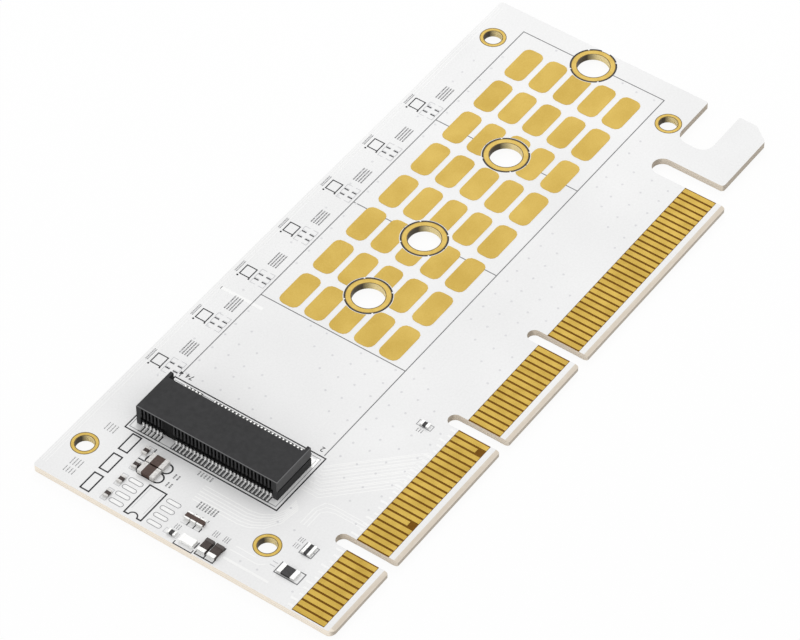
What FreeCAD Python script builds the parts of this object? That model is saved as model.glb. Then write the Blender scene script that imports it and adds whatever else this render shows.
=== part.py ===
import FreeCAD, Part
import math
import os
import Sketcher

# Adapter card with an edge connector and a small module socket, lying on its back.
# Drawing datum: middle of the first edge contact, X along the edge, Y away from it,
# Z out of the component face.  Every piece is moved by (datum_x, datum_y) so that the
# origin is the middle of the card's outline on its lower face.

doc = FreeCAD.newDocument("adapter_card")
sheet = doc.addObject("Spreadsheet::Sheet", "dims")

# Driving sizes, in millimetres or plain counts.
sizes = {
    # board
    "board_thickness": 1.0,
    "board_left": -0.66,
    "board_length": 98.74,
    "board_depth": 44.47,
    "tongue_tip": -3.62,
    "corner_radius": 0.5,
    "tongue_outer_radius": 0.9,
    "tongue_inner_radius": 0.25,
    "bevel_length": 0.57,
    "bevel_height": 0.207,
    "copper_thickness": 0.035,
    # edge contacts
    "contact_pitch": 1.0,
    "contact_width": 0.7,
    "contact_y_low": -2.25,
    "contact_y_high": 2.31,
    "short_contact_step": 1.0,
    "window_margin": 0.06,
    "window_side": 0.13,
    "section_one_count": 11,
    "section_two_count": 21,
    "section_three_count": 15,
    "section_four_count": 31,
    "key_gap_pitches": 3,
    "presence_index": 5,
    # slots between the tongues and beside the hook
    "slot_width": 1.9,
    "slot_end_y": 4.55,
    "hook_slot_width": 2.92,
    "hook_slot_end_y": 8.17,
    "hook_base_y": -1.46,
    "hook_chamfer_width": 1.78,
    "hook_chamfer_y": 0.9,
    "hook_radius": 0.5,
    "hook_chamfer_radius": 0.6,
    "notch_reach": 7.9,
    "notch_low_y": 3.53,
    "notch_high_y": 8.33,
    "notch_radius": 1.65,
    "notch_mouth_radius": 0.2,
    # plated holes
    "standoff_hole_radius": 2.15,
    "standoff_ring_radius": 2.94,
    "standoff_y": 24.19,
    "module_datum_x": 15.05,
    "length_a": 30,
    "length_b": 42,
    "length_c": 60,
    "length_d": 80,
    "mount_hole_radius": 1.22,
    "mount_ring_radius": 1.78,
    "mount_left": 5.63,
    "mount_low": 10.42,
    "mount_spacing_x": 86.2,
    "mount_spacing_y": 27.43,
    # bare metal pads under the module
    "pad_width": 5.95,
    "pad_depth": 2.95,
    "pad_radius": 0.95,
    "pad_first_x": 40.86,
    "pad_first_y": 16.42,
    "pad_pitch_x": 7.0,
    "pad_pitch_y": 3.8,
    "pad_columns": 8,
    "pad_rows": 5,
    "ring_clearance_radius": 3.2,
    # module socket
    "socket_back": 11.85,
    "socket_front": 17.72,
    "socket_low_y": 13.55,
    "socket_high_y": 34.72,
    "socket_height": 3.2,
    "socket_end_wall": 0.5,
    "socket_ear_reach": 0.94,
    "socket_floor": 1.0,
    "socket_mouth": 1.25,
    "socket_mouth_depth": 4.1,
    "socket_edge_chamfer": 0.08,
    "socket_key_width": 1.2,
    "socket_key_y": 29.9,
    "end_groove_low": 1.3,
    "end_groove_high": 1.6,
    "end_groove_depth": 0.14,
    "undercut_height": 1.5,
    "undercut_depth": 0.4,
    "undercut_margin": 0.35,
    "cell_width": 0.32,
    "cell_depth": 1.0,
    "cell_low": 0.55,
    "cell_high": 3.06,
    "tail_pitch": 0.5454,
    "tail_width": 0.2,
    "tail_thickness": 0.12,
    "back_tail_first_y": 14.58,
    "back_tail_count_a": 27,
    "back_tail_second_y": 31.06,
    "back_tail_count_b": 6,
    "back_foot_x": 11.02,
    "back_leg_x": 11.9,
    "back_arm_height": 0.95,
    "front_tail_first_y": 14.85,
    "front_tail_count_a": 27,
    "front_tail_second_y": 31.33,
    "front_tail_count_b": 5,
    "front_foot_x": 20.06,
    "spring_reach": 2.6,
    "hold_down_length": 0.95,
    "hold_down_width": 0.9,
    # chip parts: middle x, middle y, length, width, height, terminal length
    "body_inset": 0.03,
    "bulk_x": 6.37,
    "bulk_y": 28.62,
    "bulk_pitch": 1.76,
    "bulk_length": 2.48,
    "bulk_width": 1.6,
    "bulk_height": 0.62,
    "bulk_terminal": 0.6,
    "input_x": 1.08,
    "input_y": 14.62,
    "input_pitch": 1.46,
    "input_length": 2.12,
    "input_width": 1.14,
    "input_height": 0.58,
    "input_terminal": 0.5,
    "small_length": 1.1,
    "small_width": 0.7,
    "small_height": 0.35,
    "small_terminal": 0.28,
    "series_y": 30.68,
    "series_a_x": 0.9,
    "series_b_x": 3.6,
    "series_c_x": 6.45,
    "series_d_x": 8.85,
    "series_d_y": 31.0,
    "led_resistor_x": 0.55,
    "led_resistor_y": 20.68,
    "led_x": 0.6,
    "led_y": 18.35,
    "led_length": 2.0,
    "led_width": 1.1,
    "led_height": 0.45,
    "led_terminal": 0.4,
    "array_x": 3.65,
    "array_y": 19.62,
    "array_length": 2.66,
    "array_width": 1.06,
    "array_height": 0.5,
    "array_terminal": 0.22,
    "array_terminal_gap": 0.1,
    "bead_x": 3.7,
    "bead_y": 5.87,
    "bead_length": 2.5,
    "bead_width": 1.45,
    "bead_height": 0.4,
    "bead_terminal": 0.57,
    "pair_x": 7.39,
    "pair_y": 5.9,
    "pair_pitch": 0.83,
    "pair_length": 1.25,
    "pair_width": 0.82,
    "pair_terminal": 0.38,
    "single_x": 31.75,
    "single_y": 6.1,
}

# Values that follow from the driving sizes.
followed = {
    "board_right": "board_left + board_length",
    "board_top": "tongue_tip + board_depth",
    "hook_chamfer_x": "board_right - hook_chamfer_width",
    "notch_left": "board_right - notch_reach",
    "datum_x": "-(board_left + board_right) / 2",
    "datum_y": "-(tongue_tip + board_top) / 2",
    "section_two_x": "(section_one_count - 1 + key_gap_pitches) * contact_pitch",
    "section_three_x": "section_two_x + (section_two_count - 1 + key_gap_pitches) * contact_pitch",
    "section_four_x":
        "section_three_x + (section_three_count - 1 + key_gap_pitches) * contact_pitch",
    "last_contact_x": "section_four_x + (section_four_count - 1) * contact_pitch",
    "slot_one_x": "section_two_x - key_gap_pitches * contact_pitch / 2",
    "slot_two_x": "section_three_x - key_gap_pitches * contact_pitch / 2",
    "slot_three_x": "section_four_x - key_gap_pitches * contact_pitch / 2",
    "hook_slot_left": "last_contact_x + contact_pitch / 2",
    "hook_slot_x": "hook_slot_left + hook_slot_width / 2",
    "hook_slot_right": "hook_slot_left + hook_slot_width",
    "slot_centre_y": "slot_end_y - slot_width / 2",
    "hook_slot_centre_y": "hook_slot_end_y - hook_slot_width / 2",
    "pad_corner_near": "pad_radius * (1 - cos(30))",
    "pad_corner_far": "pad_radius * (1 - cos(60))",
    "window_left": "-contact_width / 2 - window_side",
    "window_low": "contact_y_low - window_margin",
    "window_high": "contact_y_high + window_margin",
    "pocket_floor": "board_thickness - copper_thickness",
    "cut_reach": "board_thickness * 3",
    "mouth_low": "board_thickness + socket_floor",
    "mouth_high": "board_thickness + socket_floor + socket_mouth",
    "back_tail_last_y": "back_tail_second_y + (back_tail_count_b - 1) * tail_pitch",
    "array_step": "(array_length + array_terminal_gap) / 3",
}

for row, (alias, number) in enumerate(sizes.items(), 1):
    sheet.set("A%d" % row, alias)
    sheet.set("B%d" % row, "%g" % number)
    sheet.setAlias("B%d" % row, alias)
for row, (alias, formula) in enumerate(followed.items(), len(sizes) + 1):
    sheet.set("A%d" % row, alias)
    sheet.set("B%d" % row, "=" + formula)
    sheet.setAlias("B%d" % row, alias)
doc.recompute()


def value(expression):
    """Read a number out of the sheet, from an expression in alias names."""
    found = sheet.evalExpression(expression)
    return float(getattr(found, "Value", found))


def bound(expression):
    """Turn alias names into references that other objects can follow."""
    out = ""
    word = ""
    for sign in expression + " ":
        if sign.isalnum() or sign == "_":
            word += sign
            continue
        out += ("dims." + word) if word and not word[0].isdigit() else word
        out += sign
        word = ""
    return out.strip().replace("dims.dims.", "dims.")


def move(item, x="0", y="0", z="0"):
    """Place an item at sheet-driven coordinates in the drawing datum."""
    item.setExpression("Placement.Base.x", bound("datum_x + (" + x + ")"))
    item.setExpression("Placement.Base.y", bound("datum_y + (" + y + ")"))
    item.setExpression("Placement.Base.z", bound(z))


def new_body(label, z="0"):
    """Start a sub-part as a body placed on the drawing datum."""
    body = doc.addObject("PartDesign::Body", label)
    body.Label = label
    body.AllowCompound = True
    move(body, z=z)
    return body


def new_sketch(body, label, plane, offset=None):
    """Start a sketch on one of the body's own origin planes."""
    sketch = body.newObject("Sketcher::SketchObject", label)
    for feature in body.Origin.OriginFeatures:
        if feature.Role == plane:
            sketch.AttachmentSupport = [(feature, "")]
    sketch.MapMode = "FlatFace"
    if offset is not None:
        sketch.setExpression("AttachmentOffset.Base.z", bound(offset))
    return sketch


def pin(sketch, geometry, point, x=None, y=None):
    """Fix a point of a sketch at sheet-driven coordinates."""
    for kind, expression in (("DistanceX", x), ("DistanceY", y)):
        if expression is None:
            continue
        number = value(expression)
        index = sketch.addConstraint(
            Sketcher.Constraint(kind, -1, 1, geometry, point, number))
        sketch.setExpression("Constraints[%d]" % index, bound(expression))


def polygon(sketch, corners):
    """Draw a closed outline whose corners follow the sheet."""
    count = len(corners)
    lines = []
    for index in range(count):
        a = corners[index]
        b = corners[(index + 1) % count]
        start = FreeCAD.Vector(value(a[0]), value(a[1]), 0)
        end = FreeCAD.Vector(value(b[0]), value(b[1]), 0)
        lines.append(sketch.addGeometry(Part.LineSegment(start, end), False))
    for index in range(count):
        after = lines[(index + 1) % count]
        sketch.addConstraint(
            Sketcher.Constraint("Coincident", lines[index], 2, after, 1))
    for index in range(count):
        pin(sketch, lines[index], 1, corners[index][0], corners[index][1])


def rectangle(sketch, x_low, x_high, y_low, y_high):
    """Draw a rectangle between sheet-driven limits."""
    polygon(sketch, [(x_low, y_low), (x_high, y_low), (x_high, y_high), (x_low, y_high)])


def circle(sketch, x, y, radius):
    """Draw a circle with a sheet-driven middle and radius."""
    middle = FreeCAD.Vector(value(x), value(y), 0)
    normal = FreeCAD.Vector(0, 0, 1)
    ring = sketch.addGeometry(Part.Circle(middle, normal, value(radius)), False)
    pin(sketch, ring, 3, x, y)
    index = sketch.addConstraint(Sketcher.Constraint("Radius", ring, value(radius)))
    sketch.setExpression("Constraints[%d]" % index, bound(radius))


def round_ended_slot(sketch, x, width, y_low, y_centre):
    """Draw a slot that is open below and ends in a half circle."""
    half = value(width) / 2
    cx = value(x)
    cy = value(y_centre)
    low = value(y_low)
    left = x + " - " + width + " / 2"
    right = x + " + " + width + " / 2"
    v = FreeCAD.Vector
    base = sketch.addGeometry(Part.LineSegment(v(cx - half, low, 0), v(cx + half, low, 0)), False)
    side = sketch.addGeometry(Part.LineSegment(v(cx + half, low, 0), v(cx + half, cy, 0)), False)
    arc = sketch.addGeometry(
        Part.ArcOfCircle(Part.Circle(v(cx, cy, 0), v(0, 0, 1), half), 0, math.pi), False)
    back = sketch.addGeometry(Part.LineSegment(v(cx - half, cy, 0), v(cx - half, low, 0)), False)
    sketch.addConstraint(Sketcher.Constraint("Coincident", base, 2, side, 1))
    sketch.addConstraint(Sketcher.Constraint("Coincident", side, 2, arc, 1))
    sketch.addConstraint(Sketcher.Constraint("Coincident", arc, 2, back, 1))
    sketch.addConstraint(Sketcher.Constraint("Coincident", back, 2, base, 1))
    pin(sketch, base, 1, left, y_low)
    pin(sketch, base, 2, right, y_low)
    pin(sketch, arc, 3, x, y_centre)
    pin(sketch, arc, 1, None, y_centre)
    pin(sketch, arc, 2, None, y_centre)
    index = sketch.addConstraint(Sketcher.Constraint("Radius", arc, half))
    sketch.setExpression("Constraints[%d]" % index, bound(width + " / 2"))


def faceted_rectangle(sketch, x_low, x_high, y_low, y_high, steps):
    """Draw a rectangle whose corners turn in a few short facets, between sheet-driven limits."""
    corners = []
    for x, y, inward_x, inward_y, swap in (
            (x_high, y_high, " - ", " - ", False), (x_low, y_high, " + ", " - ", True),
            (x_low, y_low, " + ", " + ", False), (x_high, y_low, " - ", " + ", True)):
        turn = [(x + inward_x + near, y + inward_y + far) for near, far in steps]
        if swap:
            turn.reverse()
        corners += turn
    polygon(sketch, corners)


def pad(body, sketch, length, reverse=False, label="pad"):
    """Raise a sketch by a sheet-driven length."""
    feature = body.newObject("PartDesign::Pad", label)
    feature.Profile = sketch
    feature.Reversed = reverse
    feature.setExpression("Length", bound(length))
    doc.recompute()
    return feature


def pocket(body, sketch, length, reverse=False, middle=False, label="pocket"):
    """Cut a sketch out of a body by a sheet-driven length."""
    before = body.Shape.Volume
    feature = body.newObject("PartDesign::Pocket", label)
    feature.Profile = sketch
    feature.Reversed = reverse
    if middle:
        feature.Midplane = True
    feature.setExpression("Length", bound(length))
    doc.recompute()
    if not body.Shape.Volume < before - 1e-9:
        raise RuntimeError("pocket removed nothing: " + feature.Label + " in " + body.Label)
    return feature


def pattern(body, feature, axis, span, count, label="pattern"):
    """Repeat a feature along one of the body's own axes."""
    row = body.newObject("PartDesign::LinearPattern", label)
    row.Originals = [feature]
    for item in body.Origin.OriginFeatures:
        if item.Role == axis:
            row.Direction = (item, [""])
    row.Mode = "Extent"
    row.setExpression("Length", bound(span))
    row.setExpression("Occurrences", bound(count))
    body.Tip = row
    doc.recompute()
    return row


def upright_edges(feature, corners):
    """Find the upright edges of a feature that stand on the given corners."""
    names = []
    for index, edge in enumerate(feature.Shape.Edges):
        ends = [item.Point for item in edge.Vertexes]
        if len(ends) != 2:
            continue
        for x, y in corners:
            near = all(abs(p.x - value(x)) < 1e-4 and abs(p.y - value(y)) < 1e-4 for p in ends)
            if near:
                names.append("Edge%d" % (index + 1))
    if len(names) != len(corners):
        raise RuntimeError("corners not found on " + feature.Label)
    return names


def soften(body, corners, radius, label="round"):
    """Round the upright edges at the given corners."""
    last = body.Tip
    feature = body.newObject("PartDesign::Fillet", label)
    feature.Base = (last, upright_edges(last, corners))
    feature.setExpression("Radius", bound(radius))
    body.Tip = feature
    doc.recompute()
    return feature


def block(label, x_low, x_high, y_low, y_high, z_low, z_high):
    """Make a plain block between sheet-driven limits."""
    box = doc.addObject("Part::Box", label)
    box.Label = label
    box.setExpression("Length", bound("(" + x_high + ") - (" + x_low + ")"))
    box.setExpression("Width", bound("(" + y_high + ") - (" + y_low + ")"))
    box.setExpression("Height", bound("(" + z_high + ") - (" + z_low + ")"))
    move(box, x_low, y_low, z_low)
    return box


def cylinder(label, x, y, radius, z_low, z_high):
    """Make an upright cylinder with a sheet-driven axis and radius."""
    item = doc.addObject("Part::Cylinder", label)
    item.Label = label
    item.setExpression("Radius", bound(radius))
    item.setExpression("Height", bound("(" + z_high + ") - (" + z_low + ")"))
    move(item, x, y, z_low)
    return item


def group(label, items):
    """Gather separate solids of the same kind in one sub-part."""
    gathered = doc.addObject("Part::Compound", label)
    gathered.Label = label
    gathered.Links = items
    return gathered


pieces = []

# ---- the board -------------------------------------------------------------------------
standoffs = ["module_datum_x + length_a", "module_datum_x + length_b",
             "module_datum_x + length_c", "module_datum_x + length_d"]
mounts = [("mount_left", "mount_low"), ("mount_left + mount_spacing_x", "mount_low"),
          ("mount_left", "mount_low + mount_spacing_y"),
          ("mount_left + mount_spacing_x", "mount_low + mount_spacing_y")]

board_body = new_body("board")
outline = new_sketch(board_body, "board_outline", "XY_Plane")
polygon(outline, [("board_left", "tongue_tip"), ("hook_slot_right", "tongue_tip"),
                  ("hook_slot_right", "hook_base_y"), ("hook_chamfer_x", "hook_base_y"),
                  ("board_right", "hook_chamfer_y"), ("board_right", "board_top"),
                  ("board_left", "board_top")])
pad(board_body, outline, "board_thickness", label="board_plate")

slots = new_sketch(board_body, "key_slots", "XY_Plane")
for middle in ("slot_one_x", "slot_two_x", "slot_three_x"):
    round_ended_slot(slots, middle, "slot_width", "tongue_tip - slot_width", "slot_centre_y")
round_ended_slot(slots, "hook_slot_x", "hook_slot_width", "tongue_tip - slot_width",
                 "hook_slot_centre_y")
pocket(board_body, slots, "cut_reach", middle=True, label="key_slot_cut")

notch = new_sketch(board_body, "hook_notch", "XY_Plane")
rectangle(notch, "notch_left", "board_right + slot_width", "notch_low_y", "notch_high_y")
pocket(board_body, notch, "cut_reach", middle=True, label="hook_notch_cut")

soften(board_body, [("board_left", "tongue_tip")], "tongue_outer_radius", "tongue_outer_round")
inner = []
for middle in ("slot_one_x", "slot_two_x", "slot_three_x"):
    inner.append((middle + " - slot_width / 2", "tongue_tip"))
    inner.append((middle + " + slot_width / 2", "tongue_tip"))
inner.append(("hook_slot_left", "tongue_tip"))
soften(board_body, inner, "tongue_inner_radius", "tongue_inner_rounds")
soften(board_body, [("hook_slot_right", "hook_base_y")], "hook_radius", "hook_round")
soften(board_body, [("hook_chamfer_x", "hook_base_y"), ("board_right", "hook_chamfer_y")],
       "hook_chamfer_radius", "hook_chamfer_rounds")
soften(board_body, [("notch_left", "notch_low_y"), ("notch_left", "notch_high_y")],
       "notch_radius", "notch_rounds")
soften(board_body, [("board_right", "notch_low_y"), ("board_right", "notch_high_y")],
       "notch_mouth_radius", "notch_mouth_rounds")
soften(board_body, [("board_left", "board_top"), ("board_right", "board_top")],
       "corner_radius", "board_corner_rounds")

bevel = new_sketch(board_body, "tongue_bevel", "YZ_Plane")
polygon(bevel, [("tongue_tip", "board_thickness - bevel_height"),
                ("tongue_tip + bevel_length", "board_thickness"),
                ("tongue_tip", "board_thickness + bevel_height")])
polygon(bevel, [("tongue_tip", "bevel_height"), ("tongue_tip", "-bevel_height"),
                ("tongue_tip + bevel_length", "0 * bevel_height")])
pocket(board_body, bevel, "board_right * 3", middle=True, label="tongue_bevel_cut")

holes = new_sketch(board_body, "holes", "XY_Plane")
for middle in standoffs:
    circle(holes, middle, "standoff_y", "standoff_ring_radius")
for middle in mounts:
    circle(holes, middle[0], middle[1], "mount_ring_radius")
pocket(board_body, holes, "cut_reach", middle=True, label="hole_cut")

for face, height in (("front", "board_thickness"), ("rear", "copper_thickness")):
    window = new_sketch(board_body, "contact_window_" + face, "XY_Plane", height)
    rectangle(window, "window_left", "hook_slot_left + window_side", "window_low", "window_high")
    pocket(board_body, window, "copper_thickness", label="contact_window_cut_" + face)

pieces.append(board_body)

field = new_body("module_pad_field", "board_thickness")
pad_outline = new_sketch(field, "module_pad_outline", "XY_Plane")
faceted_rectangle(pad_outline, "pad_first_x - pad_width / 2", "pad_first_x + pad_width / 2",
                  "pad_first_y - pad_depth / 2", "pad_first_y + pad_depth / 2",
                  [("pad_radius * 0", "pad_radius"), ("pad_corner_near", "pad_corner_far"),
                   ("pad_corner_far", "pad_corner_near"), ("pad_radius", "pad_radius * 0")])
first_pad = pad(field, pad_outline, "copper_thickness", label="module_pad_first")
spread = field.newObject("PartDesign::MultiTransform", "module_pad_spread")
spread.Originals = [first_pad]
columns = field.newObject("PartDesign::LinearPattern", "module_pad_columns")
rows = field.newObject("PartDesign::LinearPattern", "module_pad_rows")
for item in field.Origin.OriginFeatures:
    if item.Role == "X_Axis":
        columns.Direction = (item, [""])
    if item.Role == "Y_Axis":
        rows.Direction = (item, [""])
columns.setExpression("Length", bound("pad_pitch_x * (pad_columns - 1)"))
columns.setExpression("Occurrences", bound("pad_columns"))
rows.setExpression("Length", bound("pad_pitch_y * (pad_rows - 1)"))
rows.setExpression("Occurrences", bound("pad_rows"))
spread.Transformations = [columns, rows]
field.Tip = spread
doc.recompute()
clearings = []
for number, middle in enumerate(standoffs):
    clearings.append(cylinder("ring_clearing_%d" % number, middle, "standoff_y",
                              "ring_clearance_radius", "board_thickness - copper_thickness",
                              "board_thickness + copper_thickness * 2"))
module_pads = doc.addObject("Part::Cut", "module_pads")
module_pads.Label = "module_pads"
module_pads.Base = field
module_pads.Tool = group("ring_clearings", clearings)
pieces.append(module_pads)


# ---- edge contacts -------------------------------------------------------------------------
def edge_contacts(label, z_low):
    """Make the four sections of flat contacts of one face."""
    body = new_body(label, z_low)
    sections = [("one", "contact_pitch * 0", "section_one_count"),
                ("two", "section_two_x", "section_two_count"),
                ("three", "section_three_x", "section_three_count"),
                ("four", "section_four_x", "section_four_count")]
    for word, start, count in sections:
        sketch = new_sketch(body, label + "_" + word, "XY_Plane")
        rectangle(sketch, start + " - contact_width / 2", start + " + contact_width / 2",
                  "contact_y_low", "contact_y_high")
        first = pad(body, sketch, "copper_thickness", label=label + "_first_" + word)
        pattern(body, first, "X_Axis", "contact_pitch * (" + count + " - 1)", count,
                label + "_row_" + word)
    short = new_sketch(body, label + "_short", "XY_Plane")
    for middle in ("section_two_x + presence_index * contact_pitch",
                   "section_two_x + (section_two_count - 2) * contact_pitch"):
        rectangle(short, middle + " - contact_pitch / 2", middle + " + contact_pitch / 2",
                  "contact_y_low - window_margin", "contact_y_low + short_contact_step")
    pocket(body, short, "copper_thickness * 3", middle=True, label=label + "_short_cut")
    return body


pieces.append(edge_contacts("edge_contacts_front", "pocket_floor"))
pieces.append(edge_contacts("edge_contacts_rear", "copper_thickness * 0"))


# ---- plated holes --------------------------------------------------------------------------
def plated_hole(label, x, y, hole, ring):
    """Make the metal lining of a hole, out to the edge of its rings."""
    body = doc.addObject("PartDesign::Body", label)
    body.Label = label
    move(body, x, y)
    sketch = new_sketch(body, label + "_profile", "XZ_Plane")
    polygon(sketch, [(hole, "copper_thickness * 0"), (ring, "copper_thickness * 0"),
                     (ring, "board_thickness"), (hole, "board_thickness")])
    turn = body.newObject("PartDesign::Revolution", label + "_turn")
    turn.Profile = sketch
    turn.ReferenceAxis = (sketch, ["V_Axis"])
    turn.Angle = 360
    doc.recompute()
    return body


for number, middle in zip(("2230", "2242", "2260", "2280"), standoffs):
    pieces.append(plated_hole("standoff_hole_" + number, middle, "standoff_y",
                              "standoff_hole_radius", "standoff_ring_radius"))
for word, middle in zip(("low_left", "low_right", "high_left", "high_right"), mounts):
    pieces.append(plated_hole("mount_hole_" + word, middle[0], middle[1],
                              "mount_hole_radius", "mount_ring_radius"))

# ---- module socket ---------------------------------------------------------------------------
housing = new_body("socket_housing")
section = new_sketch(housing, "housing_section", "XZ_Plane", "-(socket_low_y + socket_end_wall)")
polygon(section, [("socket_back", "board_thickness"), ("socket_front", "board_thickness"),
                  ("socket_front", "mouth_low"),
                  ("socket_front - socket_mouth_depth", "mouth_low"),
                  ("socket_front - socket_mouth_depth", "mouth_high"),
                  ("socket_front", "mouth_high"),
                  ("socket_front", "board_thickness + socket_height"),
                  ("socket_back", "board_thickness + socket_height")])
pad(housing, section, "socket_high_y - socket_low_y - 2 * socket_end_wall", reverse=True,
    label="housing_run")
for word, plane in (("low", "-socket_low_y"), ("high", "-(socket_high_y - socket_end_wall)")):
    wall = new_sketch(housing, "housing_wall_" + word, "XZ_Plane", plane)
    rectangle(wall, "socket_back", "socket_front + socket_ear_reach", "board_thickness",
              "board_thickness + socket_height")
    pad(housing, wall, "socket_end_wall", reverse=True, label="housing_end_" + word)
key = new_sketch(housing, "housing_key", "XZ_Plane", "-(socket_key_y - socket_key_width / 2)")
rectangle(key, "socket_front - socket_mouth_depth", "socket_front", "mouth_low", "mouth_high")
pad(housing, key, "socket_key_width", reverse=True, label="housing_key_rib")
for word, plane, flip in (("low", "-socket_low_y", True), ("high", "-socket_high_y", False)):
    groove = new_sketch(housing, "end_groove_" + word, "XZ_Plane", plane)
    rectangle(groove, "socket_back + end_groove_depth", "socket_front + socket_ear_reach * 2",
              "board_thickness + end_groove_low", "board_thickness + end_groove_high")
    pocket(housing, groove, "end_groove_depth", reverse=not flip, label="end_groove_cut_" + word)
under = new_sketch(housing, "tail_undercut", "YZ_Plane", "socket_back")
rectangle(under, "back_tail_first_y - undercut_margin", "back_tail_last_y + undercut_margin",
          "board_thickness - socket_floor", "board_thickness + undercut_height")
pocket(housing, under, "undercut_depth", reverse=True, label="tail_undercut_cut")
for word, start, count in (("a", "back_tail_first_y", "back_tail_count_a"),
                           ("b", "back_tail_second_y", "back_tail_count_b")):
    cell = new_sketch(housing, "tail_cell_" + word, "YZ_Plane", "socket_back")
    rectangle(cell, start + " - cell_width / 2", start + " + cell_width / 2",
              "board_thickness + cell_low", "board_thickness + cell_high")
    cut = pocket(housing, cell, "cell_depth", reverse=True, label="tail_cell_cut_" + word)
    pattern(housing, cut, "Y_Axis", "tail_pitch * (" + count + " - 1)", count,
            "tail_cell_row_" + word)
top_edges = []
for index, edge in enumerate(housing.Tip.Shape.Edges):
    ends = [item.Point for item in edge.Vertexes]
    top = value("board_thickness + socket_height")
    if len(ends) == 2 and all(abs(p.z - top) < 1e-5 for p in ends):
        if all(p.x < value("socket_back") + 1e-5 for p in ends):
            top_edges.append("Edge%d" % (index + 1))
        elif all(p.y < value("socket_low_y") + 1e-5 for p in ends):
            top_edges.append("Edge%d" % (index + 1))
        elif all(p.y > value("socket_high_y") - 1e-5 for p in ends):
            top_edges.append("Edge%d" % (index + 1))
housing_cut = housing.Tip
trim = housing.newObject("PartDesign::Chamfer", "housing_edge")
trim.Base = (housing_cut, top_edges)
trim.setExpression("Size", bound("socket_edge_chamfer"))
housing.Tip = trim
doc.recompute()
pieces.append(housing)

back_tails = new_body("socket_tails_back")
for word, start, count in (("a", "back_tail_first_y", "back_tail_count_a"),
                           ("b", "back_tail_second_y", "back_tail_count_b")):
    bend = new_sketch(back_tails, "back_tail_" + word, "XZ_Plane",
                      "-(" + start + " - tail_width / 2)")
    polygon(bend, [("back_foot_x", "board_thickness"),
                   ("back_leg_x + tail_thickness", "board_thickness"),
                   ("back_leg_x + tail_thickness",
                    "board_thickness + back_arm_height - tail_thickness"),
                   ("socket_back + cell_depth",
                    "board_thickness + back_arm_height - tail_thickness"),
                   ("socket_back + cell_depth", "board_thickness + back_arm_height"),
                   ("back_leg_x", "board_thickness + back_arm_height"),
                   ("back_leg_x", "board_thickness + tail_thickness"),
                   ("back_foot_x", "board_thickness + tail_thickness")])
    first = pad(back_tails, bend, "tail_width", reverse=True, label="back_tail_first_" + word)
    pattern(back_tails, first, "Y_Axis", "tail_pitch * (" + count + " - 1)", count,
            "back_tail_row_" + word)
pieces.append(back_tails)

front_tails = new_body("socket_tails_front")
for word, start, count in (("a", "front_tail_first_y", "front_tail_count_a"),
                           ("b", "front_tail_second_y", "front_tail_count_b")):
    bend = new_sketch(front_tails, "front_tail_" + word, "XZ_Plane",
                      "-(" + start + " - tail_width / 2)")
    polygon(bend, [("socket_front", "board_thickness"), ("front_foot_x", "board_thickness"),
                   ("front_foot_x", "board_thickness + tail_thickness"),
                   ("socket_front + tail_thickness", "board_thickness + tail_thickness"),
                   ("socket_front + tail_thickness", "mouth_low + tail_thickness"),
                   ("socket_front - spring_reach", "mouth_low + tail_thickness"),
                   ("socket_front - spring_reach", "mouth_low"),
                   ("socket_front", "mouth_low")])
    first = pad(front_tails, bend, "tail_width", reverse=True, label="front_tail_first_" + word)
    pattern(front_tails, first, "Y_Axis", "tail_pitch * (" + count + " - 1)", count,
            "front_tail_row_" + word)
pieces.append(front_tails)

ear = "socket_front + socket_ear_reach"
pieces.append(group("socket_hold_downs", [
    block("hold_down_low", ear, ear + " + hold_down_length", "socket_low_y",
          "socket_low_y + hold_down_width", "board_thickness",
          "board_thickness + tail_thickness"),
    block("hold_down_high", ear, ear + " + hold_down_length",
          "socket_high_y - hold_down_width", "socket_high_y", "board_thickness",
          "board_thickness + tail_thickness")]))


# ---- chip parts --------------------------------------------------------------------------------
def chip(name, x, y, along, length, width, height, terminal):
    """Make one chip part: a body between two terminals, lying along X or Y."""
    low = "board_thickness"
    high = "board_thickness + " + height
    ends = []
    spans = (("a", " - " + length + " / 2", " - " + length + " / 2 + " + terminal),
             ("b", " + " + length + " / 2 - " + terminal, " + " + length + " / 2"))
    for word, start, stop in spans:
        if along == "x":
            ends.append(block(name + "_end_" + word, x + start, x + stop,
                              y + " - " + width + " / 2", y + " + " + width + " / 2", low, high))
        else:
            ends.append(block(name + "_end_" + word, x + " - " + width + " / 2",
                              x + " + " + width + " / 2", y + start, y + stop, low, high))
    inner_low = " - " + length + " / 2 + " + terminal
    inner_high = " + " + length + " / 2 - " + terminal
    side_low = " - " + width + " / 2 + body_inset"
    side_high = " + " + width + " / 2 - body_inset"
    floor = low + " + body_inset"
    roof = high + " - body_inset"
    if along == "x":
        core = block(name + "_core", x + inner_low, x + inner_high, y + side_low,
                     y + side_high, floor, roof)
    else:
        core = block(name + "_core", x + side_low, x + side_high, y + inner_low,
                     y + inner_high, floor, roof)
    return core, ends


def chips(name, places, along, length, width, height, terminal):
    """Make a family of equal chip parts as bodies and terminals."""
    cores = []
    ends = []
    for number, place in enumerate(places):
        made = chip("%s_%d" % (name, number + 1), place[0], place[1], along, length, width,
                    height, terminal)
        cores.append(made[0])
        ends.extend(made[1])
    pieces.append(group(name + "_bodies", cores))
    pieces.append(group(name + "_terminals", ends))


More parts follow.
